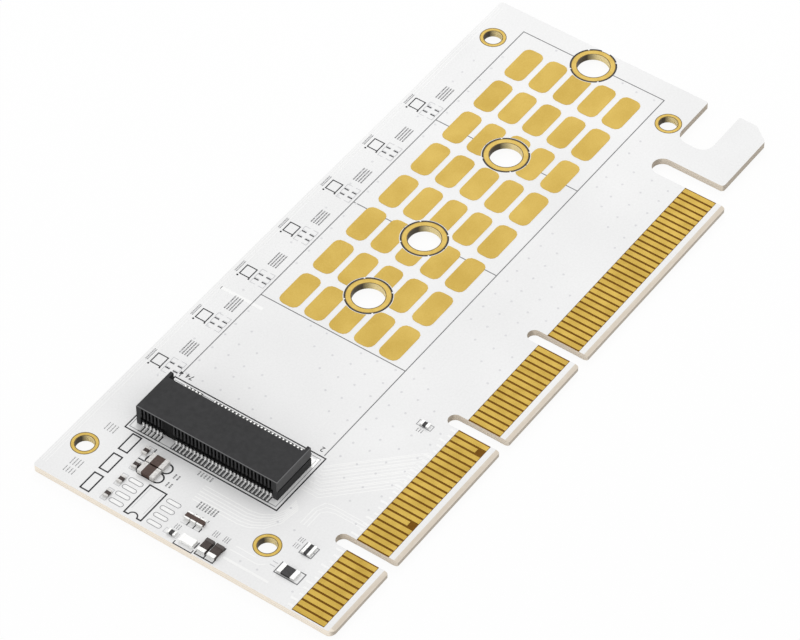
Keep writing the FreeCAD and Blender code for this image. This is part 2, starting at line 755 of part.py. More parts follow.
chips("bulk_capacitor", [("bulk_x", "bulk_y"), ("bulk_x + bulk_pitch", "bulk_y")], "y",
      "bulk_length", "bulk_width", "bulk_height", "bulk_terminal")
chips("input_capacitor", [("input_x", "input_y"), ("input_x", "input_y + input_pitch")], "x",
      "input_length", "input_width", "input_height", "input_terminal")
chips("series_resistor", [("series_a_x", "series_y"), ("series_b_x", "series_y"),
                          ("series_c_x", "series_y"), ("series_d_x", "series_d_y")], "x",
      "small_length", "small_width", "small_height", "small_terminal")
chips("led_resistor", [("led_resistor_x", "led_resistor_y")], "y",
      "small_length", "small_width", "small_height", "small_terminal")
chips("indicator_led", [("led_x", "led_y")], "y", "led_length", "led_width", "led_height",
      "led_terminal")
chips("filter_bead", [("bead_x", "bead_y")], "y", "bead_length", "bead_width", "bead_height",
      "bead_terminal")
chips("coupling_pair", [("pair_x", "pair_y"), ("pair_x + pair_pitch", "pair_y")], "y",
      "pair_length", "pair_width", "small_height", "pair_terminal")
chips("pull_resistor", [("single_x", "single_y")], "y",
      "pair_length", "small_width", "small_height", "pair_terminal")

# terminal network: one dark strip between two rows of three terminals
strip = block("network_core", "array_x - array_width / 2 + array_terminal",
              "array_x + array_width / 2 - array_terminal",
              "array_y - array_length / 2", "array_y + array_length / 2",
              "board_thickness", "board_thickness + array_height")
pieces.append(group("network_body", [strip]))
network_ends = []
for place in range(3):
    start = "array_y - array_length / 2 + array_step * %d" % place
    stop = start + " + array_step - array_terminal_gap"
    network_ends.append(block("network_left_%d" % place, "array_x - array_width / 2",
                              "array_x - array_width / 2 + array_terminal", start, stop,
                              "board_thickness",
                              "board_thickness + array_height - body_inset"))
    network_ends.append(block("network_right_%d" % place,
                              "array_x + array_width / 2 - array_terminal",
                              "array_x + array_width / 2", start, stop,
                              "board_thickness",
                              "board_thickness + array_height - body_inset"))
pieces.append(group("network_terminals", network_ends))

doc.recompute()

# ---- checks and export ---------------------------------------------------------------------------
for item in doc.Objects:
    if "Invalid" in item.State or "Error" in item.State:
        raise RuntimeError("object failed: " + item.Label + " " + str(item.State))
os.makedirs("parts", exist_ok=True)
for piece in pieces:
    shape = piece.Shape
    if shape.isNull() or not shape.isValid() or shape.Volume <= 0:
        raise RuntimeError("bad shape: " + piece.Label)
    shape.exportStep("parts/" + piece.Label + ".step")
    print(piece.Label, len(shape.Solids), round(shape.Volume, 4))
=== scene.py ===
"""Looks of a white module adapter card: finishes for its solids, and the print on its board.

Sizes are in millimetres. Board places are counted from the first edge contact's centre (along
the board) and from the middle of the contacts' length (across it).
"""

import logging
import math
from dataclasses import dataclass, field, replace
from enum import Enum
from typing import ClassVar, Sequence

import bmesh
import bpy
from mathutils import Matrix, Vector

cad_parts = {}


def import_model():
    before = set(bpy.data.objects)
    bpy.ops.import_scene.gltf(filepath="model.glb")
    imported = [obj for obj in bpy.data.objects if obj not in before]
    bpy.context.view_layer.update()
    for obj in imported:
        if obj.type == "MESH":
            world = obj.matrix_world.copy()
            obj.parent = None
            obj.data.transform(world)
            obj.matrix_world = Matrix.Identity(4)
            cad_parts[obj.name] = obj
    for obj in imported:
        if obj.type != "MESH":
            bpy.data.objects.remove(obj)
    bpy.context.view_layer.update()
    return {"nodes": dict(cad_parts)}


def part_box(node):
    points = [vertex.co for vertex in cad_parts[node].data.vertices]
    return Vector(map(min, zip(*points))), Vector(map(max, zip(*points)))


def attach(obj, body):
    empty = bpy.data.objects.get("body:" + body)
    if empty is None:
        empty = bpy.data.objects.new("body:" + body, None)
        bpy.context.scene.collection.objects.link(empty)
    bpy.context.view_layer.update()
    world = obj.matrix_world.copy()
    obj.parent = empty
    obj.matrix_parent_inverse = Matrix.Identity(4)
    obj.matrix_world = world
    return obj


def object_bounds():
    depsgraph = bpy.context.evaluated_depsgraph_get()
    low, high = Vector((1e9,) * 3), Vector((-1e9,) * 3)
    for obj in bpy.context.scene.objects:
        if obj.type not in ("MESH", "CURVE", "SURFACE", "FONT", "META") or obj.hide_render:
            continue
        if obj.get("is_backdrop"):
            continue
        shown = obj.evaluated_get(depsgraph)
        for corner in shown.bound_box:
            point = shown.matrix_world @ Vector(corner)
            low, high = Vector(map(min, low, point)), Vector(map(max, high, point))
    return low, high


LOG = logging.getLogger("adapter_card")
MM = 0.001
ROOT = "root"
Colour = tuple[float, float, float, float]
Point = tuple[float, float]
Sides = tuple[float, float, float, float]
Bars = tuple[Sides, ...]
Socket = bpy.types.NodeSocket
WHITE: Colour = (1.0, 1.0, 1.0, 1.0)
# where the socket's key lies, as shares of the socket's length
KEY_GAP: Point = (0.735, 0.815)
BOXES: dict[str, tuple[Vector, Vector]] = {}


def shade(red: int, green: int, blue: int) -> Colour:
    """Turn a colour given in display steps of 0 to 255 into a linear one.

    Args:
        red: Red step.
        green: Green step.
        blue: Blue step.

    Returns:
        The linear colour with an alpha of one.
    """
    linear = []
    for step in (red, green, blue):
        part = step / 255  # below, the standard curve of display colours
        linear.append(part / 12.92 if part <= 0.04045 else ((part + 0.055) / 1.055) ** 2.4)
    return (linear[0], linear[1], linear[2], 1.0)


def extent(node: str) -> tuple[Vector, Vector]:
    """Give a solid's box in millimetres.

    Args:
        node: The solid's name.

    Returns:
        Its lowest and highest corners.
    """
    if node not in BOXES:
        low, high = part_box(node)
        BOXES[node] = (low / MM, high / MM)
    return BOXES[node]


def stand(name: str, data: bpy.types.ID) -> bpy.types.Object:
    """Stand a new object in the scene.

    Args:
        name: Its name.
        data: Its mesh, camera or light.

    Returns:
        The object.
    """
    thing = bpy.data.objects.new(name, data)
    bpy.context.scene.collection.objects.link(thing)
    return thing


def sight(outward: Vector) -> Matrix:
    """Give the turn that makes a camera or a lamp look back along its direction."""
    return outward.to_track_quat("Z", "Y").to_matrix().to_4x4()


class Slot(Enum):
    """The record's material slots; each added mark carries one, but nothing reads it."""

    LAMINATE = "solder_masked_laminate"
    GOLD = "gold_plate"
    TIN = "tinned_metal"


class NodeChain:
    """Adds shader nodes to a tree and joins them."""

    def __init__(self, tree: bpy.types.NodeTree) -> None:
        """Keep the tree that the nodes go into."""
        self.tree = tree

    def add(self, kind: str, **settings: object) -> bpy.types.Node:
        """Add one node.

        Args:
            kind: The node's type name.
            settings: Properties set on the node.

        Returns:
            The new node.
        """
        node = self.tree.nodes.new(kind)
        for name, setting in settings.items():
            setattr(node, name, setting)
        return node

    def fill(self, node: bpy.types.Node, terms: dict[str | int, object]) -> bpy.types.Node:
        """Fill a node's inputs, linking sockets and setting plain values.

        Args:
            node: The node to fill.
            terms: A socket or a plain value for each input, by name or number.

        Returns:
            The same node.
        """
        for name, term in terms.items():
            if isinstance(term, Socket):
                self.tree.links.new(term, node.inputs[name])
            else:
                node.inputs[name].default_value = term
        return node

    def math(self, kind: str, first: object, second: object = 0.0) -> Socket:
        """Work out a sum of one or two terms, each a socket or a number."""
        node = self.add("ShaderNodeMath", operation=kind)
        return self.fill(node, {0: first, 1: second}).outputs[0]

    def above(self, value: object, limit: object) -> Socket:
        """Give 1 where a value is above a limit, and 0 elsewhere."""
        return self.math("GREATER_THAN", value, limit)

    def times(self, first: object, second: object) -> Socket:
        """Multiply two terms."""
        return self.math("MULTIPLY", first, second)

    def size_of(self, value: object) -> Socket:
        """Drop a value's sign."""
        return self.math("ABSOLUTE", value)

    def blend(self, mask: object, first: object, second: object) -> Socket:
        """Mix two colours: a mask of 0 gives the first, and of 1 the second."""
        node = self.add("ShaderNodeMix", data_type="RGBA")
        return self.fill(node, {0: mask, 6: first, 7: second}).outputs[2]

    def within(self, value: Socket, low: float, high: float) -> Socket:
        """Give 1 where a value lies between two limits."""
        return self.times(self.above(value, low), self.math("LESS_THAN", value, high))

    def clamp(self, value: Socket) -> Socket:
        """Hold a value between 0 and 1."""
        return self.math("MINIMUM", self.math("MAXIMUM", value, 0.0), 1.0)

    def parts(self, vector: Socket) -> list[Socket]:
        """Split a vector into its three parts."""
        return list(self.fill(self.add("ShaderNodeSeparateXYZ"), {0: vector}).outputs)

    def facing(self) -> list[Socket]:
        """Give the three parts of the surface's direction."""
        return self.parts(self.add("ShaderNodeNewGeometry").outputs["Normal"])


class SurfaceVariation:
    """The shared node group: broad mottling and fine grain, as colour, roughness and height."""

    NAME: ClassVar[str] = "surface_variation"
    DETAIL: ClassVar[dict[str, float]] = {"Grain": 3.0, "Mottle": 2.0}
    SPREAD: ClassVar[Point] = (0.35, 0.65)

    @classmethod
    def group(cls) -> bpy.types.NodeTree:
        """Build the group once.

        Returns:
            The group's node tree.
        """
        if cls.NAME in bpy.data.node_groups:
            return bpy.data.node_groups[cls.NAME]
        tree = bpy.data.node_groups.new(cls.NAME, "ShaderNodeTree")
        for side, kind, names in (
            ("INPUT", "NodeSocketVector", ("Vector",)),
            ("INPUT", "NodeSocketFloat", ("Grain", "Mottle", "Rough Low", "Rough High")),
            ("INPUT", "NodeSocketColor", ("Colour", "Fleck")),
            ("OUTPUT", "NodeSocketColor", ("Colour",)),
            ("OUTPUT", "NodeSocketFloat", ("Roughness", "Height")),
        ):
            for name in names:
                tree.interface.new_socket(name=name, in_out=side, socket_type=kind)
        chain = NodeChain(tree)
        entry = chain.add("NodeGroupInput").outputs
        fine, broad = (
            chain.fill(chain.add("ShaderNodeTexNoise"), {
                "Vector": entry["Vector"], "Scale": entry[scale], "Detail": detail,
            }).outputs[0]
            for scale, detail in cls.DETAIL.items()
        )
        mask = chain.fill(chain.add("ShaderNodeMapRange", clamp=True), {
            "Value": chain.times(chain.math("ADD", fine, broad), 0.5),
            "From Min": cls.SPREAD[0], "From Max": cls.SPREAD[1],
        }).outputs[0]
        rough = chain.fill(chain.add("ShaderNodeMapRange", clamp=True), {
            "Value": mask, "To Min": entry["Rough Low"], "To Max": entry["Rough High"],
        }).outputs[0]
        chain.fill(chain.add("NodeGroupOutput"), {
            "Colour": chain.blend(mask, entry["Colour"], entry["Fleck"]),
            "Roughness": rough, "Height": fine,
        })
        return tree


@dataclass(frozen=True)
class Finish:
    """One surface finish: two near colours, grain per metre, roughness range and bump depth."""

    name: str
    colour: Colour
    fleck: Colour
    rough: Point = (0.45, 0.6)
    grain: float = 9000.0
    mottle: float = 900.0
    bump: float = 0.002
    metallic: float = 0.0
    specular: float = 0.5
    coat: float = 0.0
    coat_rough: float = 0.15

    def make(self) -> bpy.types.Material:
        """Build the material, or return the one already built.

        Returns:
            The material.
        """
        if self.name in bpy.data.materials:
            return bpy.data.materials[self.name]
        material = bpy.data.materials.new(self.name)
        material.use_nodes = True
        material.diffuse_color = self.colour
        chain = NodeChain(material.node_tree)
        place = chain.add("ShaderNodeTexCoord").outputs["Object"]
        varied = chain.fill(chain.add("ShaderNodeGroup", node_tree=SurfaceVariation.group()), {
            "Vector": place, "Grain": self.grain, "Mottle": self.mottle,
            "Colour": self.colour, "Fleck": self.fleck,
            "Rough Low": self.rough[0], "Rough High": self.rough[1],
        }).outputs
        bump = chain.fill(chain.add("ShaderNodeBump"), {
            "Distance": self.bump * MM, "Strength": 1.0, "Height": varied["Height"],
        })
        chain.fill(material.node_tree.nodes["Principled BSDF"], {
            "Metallic": self.metallic, "Specular IOR Level": self.specular,
            "Coat Weight": self.coat, "Coat Roughness": self.coat_rough,
            "Base Color": self.tint(chain, place, varied["Colour"]),
            "Roughness": varied["Roughness"], "Normal": bump.outputs[0],
        })
        return material

    def near(self, name: str, colour: Colour, fleck: Colour, **others: object) -> "Finish":
        """Give a like finish with another name and other colours."""
        return replace(self, name=name, colour=colour, fleck=fleck, **others)

    def tint(self, chain: NodeChain, place: Socket, colour: Socket) -> Socket:
        """Change the colour by place; a plain finish leaves it as it is."""
        return colour


@dataclass(frozen=True)
class BoardFinish(Finish):
    """White mask on the two faces, bare laminate with painted shade on cut edges, brown floors
    between contacts.
    """

    cut_edge: Colour = shade(252, 243, 229)
    cut_edge_dark: Colour = shade(243, 231, 214)
    # painted shade for cut edges that face the edge contacts, and lightly for every edge past the
    # left end
    shaded_edge: Colour = shade(158, 146, 130)
    window: Colour = shade(90, 60, 16)
    thickness: float = 1.0
    skin: float = 0.012
    end_depth: float = 0.6
    flat: float = 0.98
    ply_scale: float = 900.0
    ply_wander: float = 3.0
    slope: Point = (-2.0, 0.8)
    # how much painted shade the edges facing the contacts, and the edges past the left end, get
    edge_shade_side: float = 0.8
    edge_shade_inside: float = 0.3

    def tint(self, chain: NodeChain, place: Socket, colour: Socket) -> Socket:
        """Keep the mask's colour on the faces only, and paint shade on the cut edges.

        Args:
            chain: The material's nodes.
            place: The object coordinates.
            colour: The mask's varied colour.

        Returns:
            The colour of face, edge or window.
        """
        x, _, z = chain.parts(place)
        _, across, up = chain.facing()
        half = self.thickness * MM / 2
        level = chain.size_of(chain.math("SUBTRACT", z, half))
        flat = chain.above(chain.size_of(up), self.flat)
        outer = chain.above(level, half - self.skin * MM)
        plies = chain.add("ShaderNodeTexWave", wave_type="BANDS", bands_direction="Z")
        chain.fill(plies, {
            "Scale": self.ply_scale, "Distortion": self.ply_wander, "Vector": place,
        })
        edge = chain.blend(plies.outputs["Fac"], self.cut_edge, self.cut_edge_dark)
        # painted shade on cut edges: strongly where they face the edge contacts, lightly on every
        # edge past the left end
        turned = chain.math("SUBTRACT", chain.times(across, self.slope[0]), self.slope[1])
        inner = chain.above(x, (extent("board")[0].x + self.end_depth) * MM)
        edge_shade = chain.math("MAXIMUM", chain.times(chain.clamp(turned), self.edge_shade_side),
                          chain.times(inner, self.edge_shade_inside))
        edge = chain.blend(edge_shade, edge, self.shaded_edge)
        floor = chain.times(flat, chain.math("SUBTRACT", 1.0, outer))
        chain.fill(chain.tree.nodes["Principled BSDF"], {"Metallic": floor})
        bare = chain.blend(flat, edge, self.window)
        return chain.blend(chain.times(flat, outer), bare, colour)


@dataclass(frozen=True)
class HoleFinish(Finish):
    """Gold plating whose drilled wall has painted shade down one side and a painted highlight on
    the other.
    """

    # painted shade and painted highlight on the drilled wall, chosen by the way each face points
    shaded_wall: Colour = shade(60, 49, 23)
    lit_wall: Colour = shade(255, 236, 176)
    slope: Point = (-1.2, 0.8)
    flat: float = 0.5

    def tint(self, chain: NodeChain, place: Socket, colour: Socket) -> Socket:
        """Paint shade on the wall's side towards the board's far edge, and a highlight on the other
        side.

        Args:
            chain: The material's nodes.
            place: The object coordinates.
            colour: The plating's varied colour.

        Returns:
            The colour of flange, or of wall in painted shade and highlight.
        """
        along, across, up = chain.facing()
        bright = chain.clamp(chain.math("ADD", chain.times(along, self.slope[0]),
                                        chain.times(across, self.slope[1])))
        flat = chain.above(chain.size_of(up), self.flat)
        return chain.blend(flat, chain.blend(bright, self.shaded_wall, self.lit_wall), colour)


@dataclass(frozen=True)
class TailFinish(Finish):
    """Tinned tails: bright legs, greyer feet, and arms in painted shade inside the socket's cells.
    """

    # painted shade on the arms inside the socket's cells
    shaded: Colour = shade(26, 26, 28)
    foot: Colour = shade(240, 240, 240)
    arm_height: float = 0.64
    foot_height: float = 0.125

    def tint(self, chain: NodeChain, place: Socket, colour: Socket) -> Socket:
        """Colour the tails by their height above the board, painting shade on the arms.

        Args:
            chain: The material's nodes.
            place: The object coordinates.
            colour: The tin's varied colour.

        Returns:
            The colour of foot, leg or arm.
        """
        height = chain.parts(place)[2]
        top = extent("board")[1].z
        above = chain.above(height, (top + self.arm_height) * MM)
        leg = chain.above(height, (top + self.foot_height) * MM)
        return chain.blend(above, chain.blend(leg, self.foot, colour), self.shaded)


@dataclass(frozen=True)
class EndFinish(Finish):
    """Soldered ends of a chip, darker at the far end, with painted shade on the side facing the
    edge contacts.
    """

    node: str = ""
    # darker far end, and painted shade on the side facing the edge contacts
    far_end_and_shade: Colour = shade(50, 40, 37)
    turned: float = 0.5

    def tint(self, chain: NodeChain, place: Socket, colour: Socket) -> Socket:
        """Darken the end that lies further along the board, and paint shade on the side towards the
        contacts.

        Args:
            chain: The material's nodes.
            place: The object coordinates.
            colour: The solder's varied colour.

        Returns:
            The colour of near or far end.
        """
        low, high = extent(self.node)
        far = chain.above(chain.parts(place)[0], (low.x + high.x) / 2 * MM)
        # painted shade on the side that faces the edge contacts
        side = chain.above(chain.times(chain.facing()[1], -1.0), self.turned)
        return chain.blend(chain.math("MAXIMUM", far, side), colour, self.far_end_and_shade)


@dataclass(frozen=True)
class MouldingFinish(Finish):
    """Black moulding: cells and key gap in near-black painted shade between grey ribs, a painted
    highlight on the sloped top edge, and an end painted lighter above and in shade below.
    """

    # painted shade in the cells, the key gap and under the tails; the ribs keep the moulding's own
    # grey
    recess_shade: Colour = shade(4, 4, 4)
    rib: Colour = shade(52, 52, 53)
    # painted highlight on the sloped top edge
    bevel_highlight: Colour = shade(112, 112, 113)
    # painted shade low on the socket's end, and painted light on its upper band
    end_shade: Colour = shade(46, 46, 47)
    end_lit: Colour = shade(82, 82, 83)
    band: float = 1.58
    skin: float = 0.12
    sloped: Point = (0.4, 0.9)

    def tint(self, chain: NodeChain, place: Socket, colour: Socket) -> Socket:
        """Paint shade on the upright faces by place, and a highlight on the sloped top edge.

        Args:
            chain: The material's nodes.
            place: The object coordinates.
            colour: The moulding's varied colour.

        Returns:
            The colour of top, edge or side.
        """
        up = chain.facing()[2]
        x, y, z = chain.parts(place)
        low, high = extent("socket_housing")
        key_low, key_high = (low.y + (high.y - low.y) * share for share in KEY_GAP)
        outer = chain.math("LESS_THAN", x, (low.x + self.skin) * MM)
        keyed = chain.within(y, key_low * MM, key_high * MM)
        rib = chain.math("MAXIMUM", chain.math("SUBTRACT", outer, keyed), 0.0)
        upper = chain.above(z, (extent("board")[1].z + self.band) * MM)
        end = chain.math("LESS_THAN", y, (low.y + self.skin) * MM)
        # upright faces: painted shade except on the ribs' outer faces; the end gets painted light
        # above and shade below
        side = chain.blend(rib, self.recess_shade, self.rib)
        side = chain.blend(end, side, chain.blend(upper, self.end_shade, self.end_lit))
        face = chain.blend(chain.above(up, self.sloped[0]), side, colour)
        return chain.blend(chain.within(up, *self.sloped), face, self.bevel_highlight)


MASK = BoardFinish(
    "white_mask", shade(243, 243, 243), shade(236, 236, 236), rough=(0.42, 0.55),
    grain=4000.0, mottle=60.0, bump=0.001, specular=0.35,
)
VIA = Finish(
    "mask_over_hole", shade(224, 224, 226), shade(216, 216, 218), rough=(0.4, 0.5),
    grain=4000.0, mottle=120.0, bump=0.001, specular=0.35,
)
STUB = VIA.near("mask_over_finger", shade(251, 251, 250), shade(246, 246, 245))
FINGER = Finish(
    "finger_gold", shade(197, 164, 60), shade(184, 150, 46), grain=12000.0, mottle=500.0,
    bump=0.001, metallic=0.3,
)
PAD_GOLD = Finish(
    "pad_gold", shade(212, 181, 88), shade(204, 171, 77), rough=(0.55, 0.7), grain=6000.0,
    mottle=260.0, metallic=0.2, specular=0.3,
)
RING_RIM = Finish(
    "ring_rim", shade(112, 90, 40), shade(100, 78, 32), rough=(0.5, 0.65), bump=0.001,
    metallic=0.2,
)
RING_GOLD = HoleFinish(
    "hole_gold", shade(220, 188, 90), shade(208, 174, 74), rough=(0.5, 0.65), bump=0.001,
    metallic=0.15,
)
MOULDING = MouldingFinish(
    "black_moulding", shade(53, 53, 54), shade(48, 48, 49), rough=(0.6, 0.75),
    grain=16000.0, mottle=1500.0, bump=0.004, specular=0.2,
)
TAIL = TailFinish(
    "tail_tin", shade(255, 255, 254), shade(244, 244, 243), rough=(0.35, 0.5),
    grain=14000.0, mottle=3000.0, metallic=0.1,
)
TIN = Finish(
    "tinned_leads", shade(250, 250, 248), shade(232, 232, 230), rough=(0.3, 0.5),
    grain=14000.0, mottle=3000.0, metallic=0.25,
)
SOLDER = Finish(
    "solder", shade(236, 236, 234), shade(218, 218, 216), rough=(0.3, 0.45), mottle=4000.0,
    bump=0.004, metallic=0.3,
)
DULL_SOLDER = SOLDER.near(
    "dull_solder", shade(220, 218, 215), shade(192, 190, 187), rough=(0.4, 0.55),
    mottle=3000.0, metallic=0.2,
)
INPUT_END = EndFinish(
    "input_solder", shade(240, 240, 238), shade(222, 222, 220), rough=(0.3, 0.45),
    mottle=4000.0, bump=0.004, metallic=0.2, node="input_capacitor_terminals",
)
# dark lines of painted shade between the tails' feet
LAND_SHADE = Finish(
    "land_shade", shade(50, 50, 52), shade(66, 66, 67), rough=(0.4, 0.6), mottle=3000.0,
    metallic=0.2,
)
CERAMIC = Finish(
    "fired_ceramic", shade(84, 64, 56), shade(66, 50, 44), rough=(0.5, 0.65),
    grain=20000.0, mottle=4000.0, bump=0.003, specular=0.35,
)
DARK_CERAMIC = CERAMIC.near("dark_ceramic", shade(66, 54, 50), shade(52, 42, 40))
DARK_CHIP = CERAMIC.near(
    "dark_chip", shade(52, 51, 52), shade(42, 41, 42), rough=(0.45, 0.6), bump=0.002,
)
RESIN = Finish(
    "white_resin", shade(255, 255, 253), shade(250, 250, 247), rough=(0.15, 0.3),
    mottle=2500.0, coat=0.4,
)


class Ink(Enum):
    """The print's inks, each a finish of its own."""

    DARK = Finish(
        "print_dark", shade(36, 36, 39), shade(46, 46, 49), grain=15000.0, specular=0.2,
    )
    LINE = Finish("print_line", shade(104, 104, 106), shade(116, 116, 118), grain=15000.0)
    GREY = Finish("print_grey", shade(140, 140, 142), shade(152, 152, 154), grain=15000.0)
    PALE = Finish("print_pale", shade(198, 198, 200), shade(208, 208, 210), grain=15000.0)


@dataclass
class Datum:
    """The board's measuring point, taken from its edge contacts and its faces."""

    half_contact: float = 0.35
    contact_low: float = 2.25
    origin: Vector = field(init=False)
    top: float = field(init=False)

    def __post_init__(self) -> None:
        """Read the point from the solids."""
        low, _ = extent("edge_contacts_rear")
        self.origin = Vector((low.x + self.half_contact, low.y + self.contact_low, 0.0))
        self.top = extent("board")[1].z

    def local(self, node: str) -> tuple[Vector, Vector]:
        """Give the lowest and highest corners of a solid, counted from this point."""
        low, high = extent(node)
        return low - self.origin, high - self.origin


@dataclass
class FlatMarks:
    """Flat marks of one thickness on the board's front, gathered into one mesh."""

    datum: Datum
    name: str
    finish: Finish
    height: float = 0.012
    slot: Slot = Slot.LAMINATE
    mesh: bmesh.types.BMesh = field(default_factory=bmesh.new)
    HALF_TURN_STEPS: ClassVar[int] = 16

    def matrix(self, x: float, y: float, turn: float = 0.0) -> Matrix:
        """Give the place of a mark's centre, in metres.

        Args:
            x: Distance along the board.
            y: Distance across the board.
            turn: Turn about the upright, in degrees.

        Returns:
            The placing matrix.
        """
        level = self.datum.top + self.height / 2
        centre = Vector((x, y, level)) + self.datum.origin
        return Matrix.Translation(centre * MM) @ Matrix.Rotation(math.radians(turn), 4, "Z")

    def bar(self, left: float, low: float, right: float, high: float) -> None:
        """Lay a filled rectangle between its four sides."""
        self.stroke(((left + right) / 2, low), ((left + right) / 2, high), right - left)

    def bars(self, *sides: Sides, along: float = 0.0, across: float = 0.0) -> None:
        """Lay filled rectangles, each given by its four sides, all shifted alike."""
        for left, low, right, high in sides:
            self.bar(left + along, low + across, right + along, high + across)

    def stroke(self, start: Point, end: Point, width: float) -> None:
        """Lay a straight line.

        Args:
            start: Its first end.
            end: Its other end.
            width: Its width.
        """
        run = Vector(end) - Vector(start)
        middle = (Vector(end) + Vector(start)) / 2
        turn = math.degrees(math.atan2(run.y, run.x))
        size = Matrix.Diagonal((run.length * MM, width * MM, self.height * MM, 1.0))
        bmesh.ops.create_cube(
            self.mesh, size=1.0, matrix=self.matrix(middle.x, middle.y, turn) @ size
        )

    def box(self, sides: Sides, line: float, along: float = 0.0) -> None:
        """Draw a rectangle's outline, the line inside the given sides.

        Args:
            sides: Its left, lower, right and upper side.
            line: Line width.
            along: Shift along the board.
        """
        left, low, right, high = sides
        self.bars(
            (left, low, right, low + line), (left, high - line, right, high),
            (left, low + line, left + line, high - line),
            (right - line, low + line, right, high - line), along=along,
        )

    def arc(
        self, x: float, y: float, radius: float, line: float,
        start: float = 0.0, sweep: float = 360.0, steps: int = 48,
    ) -> None:
        """Spin a line round a centre.

        Args:
            x: The centre's distance along the board.
            y: The centre's distance across the board.
            radius: Middle radius of the line.
            line: Line width.
            start: First angle in degrees.
            sweep: Angle covered in degrees.
            steps: Number of steps.
        """
        whole = abs(sweep - 360.0) < 1e-6
        place = self.matrix(x, y, start)
        inner, outer = (radius - line / 2) * MM, (radius + line / 2) * MM
        half = self.height * MM / 2
        corners = [
            self.mesh.verts.new(place @ Vector((reach, 0.0, level)))
            for reach, level in ((inner, -half), (outer, -half), (outer, half), (inner, half))
        ]
        face = self.mesh.faces.new(corners)
        profile = list(face.edges) + corners
        if whole:
            bmesh.ops.delete(self.mesh, geom=[face], context="FACES_ONLY")
        else:
            profile.append(face)
        bmesh.ops.spin(
            self.mesh, geom=profile, cent=place.translation, axis=(0.0, 0.0, 1.0),
            angle=math.radians(sweep), steps=steps, use_merge=whole, use_duplicate=False,
        )

    def disc(self, x: float, y: float, radius: float, sides: int = 24) -> None:
        """Lay a round dot.

        Args:
            x: Distance along the board.
            y: Distance across the board.
            radius: Its radius.
            sides: Number of sides.
        """
        bmesh.ops.create_cone(
            self.mesh, cap_ends=True, segments=sides, radius1=radius * MM,
            radius2=radius * MM, depth=self.height * MM, matrix=self.matrix(x, y),
        )

    def capsule(self, x: float, low: float, high: float, radius: float, line: float) -> None:
        """Draw an upright capsule's outline.

        Args:
            x: Middle of the capsule.
            low: Its lowest point.
            high: Its highest point.
            radius: Radius of its ends.
            line: Line width.
        """
        middle = radius - line / 2
        for side in (-1.0, 1.0):
            edge = x + side * middle
            self.stroke((edge, low + radius), (edge, high - radius), line)
        for y, start in ((high - radius, 0.0), (low + radius, 180.0)):
            self.arc(x, y, middle, line, start, 180.0, self.HALF_TURN_STEPS)

    def ribbon(self, points: Sequence[Point], width: float) -> None:
        """Lay a bent line as one strip.

        Args:
            points: The corners it passes, in order.
            width: Its width.
        """
        spots = [Vector(point) for point in points]
        rise = Vector((0.0, 0.0, self.height * MM))
        strip = bmesh.ops.create_grid(
            self.mesh, x_segments=len(spots) - 1, y_segments=1, size=1.0)["verts"]
        strip.sort(key=lambda vert: (vert.co.x, vert.co.y))
        for index, spot in enumerate(spots):
            ahead = spots[min(index + 1, len(spots) - 1)] - spots[max(index - 1, 0)]
            across = Vector((-ahead.y, ahead.x)).normalized() * (width / 2)
            for side, vert in zip((-1.0, 1.0), strip[2 * index:2 * index + 2]):
                vert.co = self.matrix(*(spot + side * across)).translation - rise / 2
        faces = list(dict.fromkeys(face for vert in strip for face in vert.link_faces))
        raised = bmesh.ops.extrude_face_region(self.mesh, geom=faces)["geom"]
        upper = [part for part in raised if isinstance(part, bmesh.types.BMVert)]
        bmesh.ops.translate(self.mesh, verts=upper, vec=rise)

    def lay(self) -> None:
        """Turn the gathered marks into a piece that rides on the board."""
        bmesh.ops.recalc_face_normals(self.mesh, faces=self.mesh.faces)
        data = bpy.data.meshes.new(self.name)
        self.mesh.to_mesh(data)
        self.mesh.free()
        piece = stand(self.name, data)
        data.materials.append(self.finish.make())
        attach(piece, ROOT)
        LOG.info("%s: %d faces", self.name, len(data.polygons))


class Dresser:
    """Gives each solid its finish, chosen by the first of these words that its name holds."""

    FINISHES: ClassVar[tuple[tuple[str, Finish], ...]] = (
        ("board", MASK),
        ("module_pads", PAD_GOLD),
        ("edge_contacts", FINGER),
        ("hole", RING_GOLD),
        ("socket_housing", MOULDING),
        ("socket_tails_back", TAIL),
        ("tails", TIN),
        ("hold_downs", TIN),
        ("indicator_led", RESIN),
        ("input_capacitor_terminals", INPUT_END),
        ("series_resistor_terminals", DULL_SOLDER),
        ("bulk_capacitor_terminals", DULL_SOLDER),
        ("terminals", SOLDER),
        ("input_capacitor", DARK_CERAMIC),
        ("series_resistor", DARK_CERAMIC),
        ("bulk_capacitor", CERAMIC),
        ("network", CERAMIC),
        ("bodies", DARK_CHIP),
    )

    def finish_for(self, node: str) -> Finish:
        """Choose a solid's finish by its name."""
        return next(finish for word, finish in self.FINISHES if word in node)

    def dress(self, nodes: dict[str, bpy.types.Object]) -> None:
        """Assign every solid's material slots.

        Args:
            nodes: The solids by name.
        """
        for name, solid in nodes.items():
            material = self.finish_for(name).make()
            if not solid.data.materials:
                solid.data.materials.append(material)
            for place in range(len(solid.data.materials)):
                solid.data.materials[place] = material
            LOG.info("%s: %s", name, material.name)


@dataclass(frozen=True)
class Dashes:
    """Rows of short dashes where small lettering would be."""

    x: float
    y: float
    wide: float
    rows: int
    step: float
    thick: float
    ink: Ink = Ink.GREY


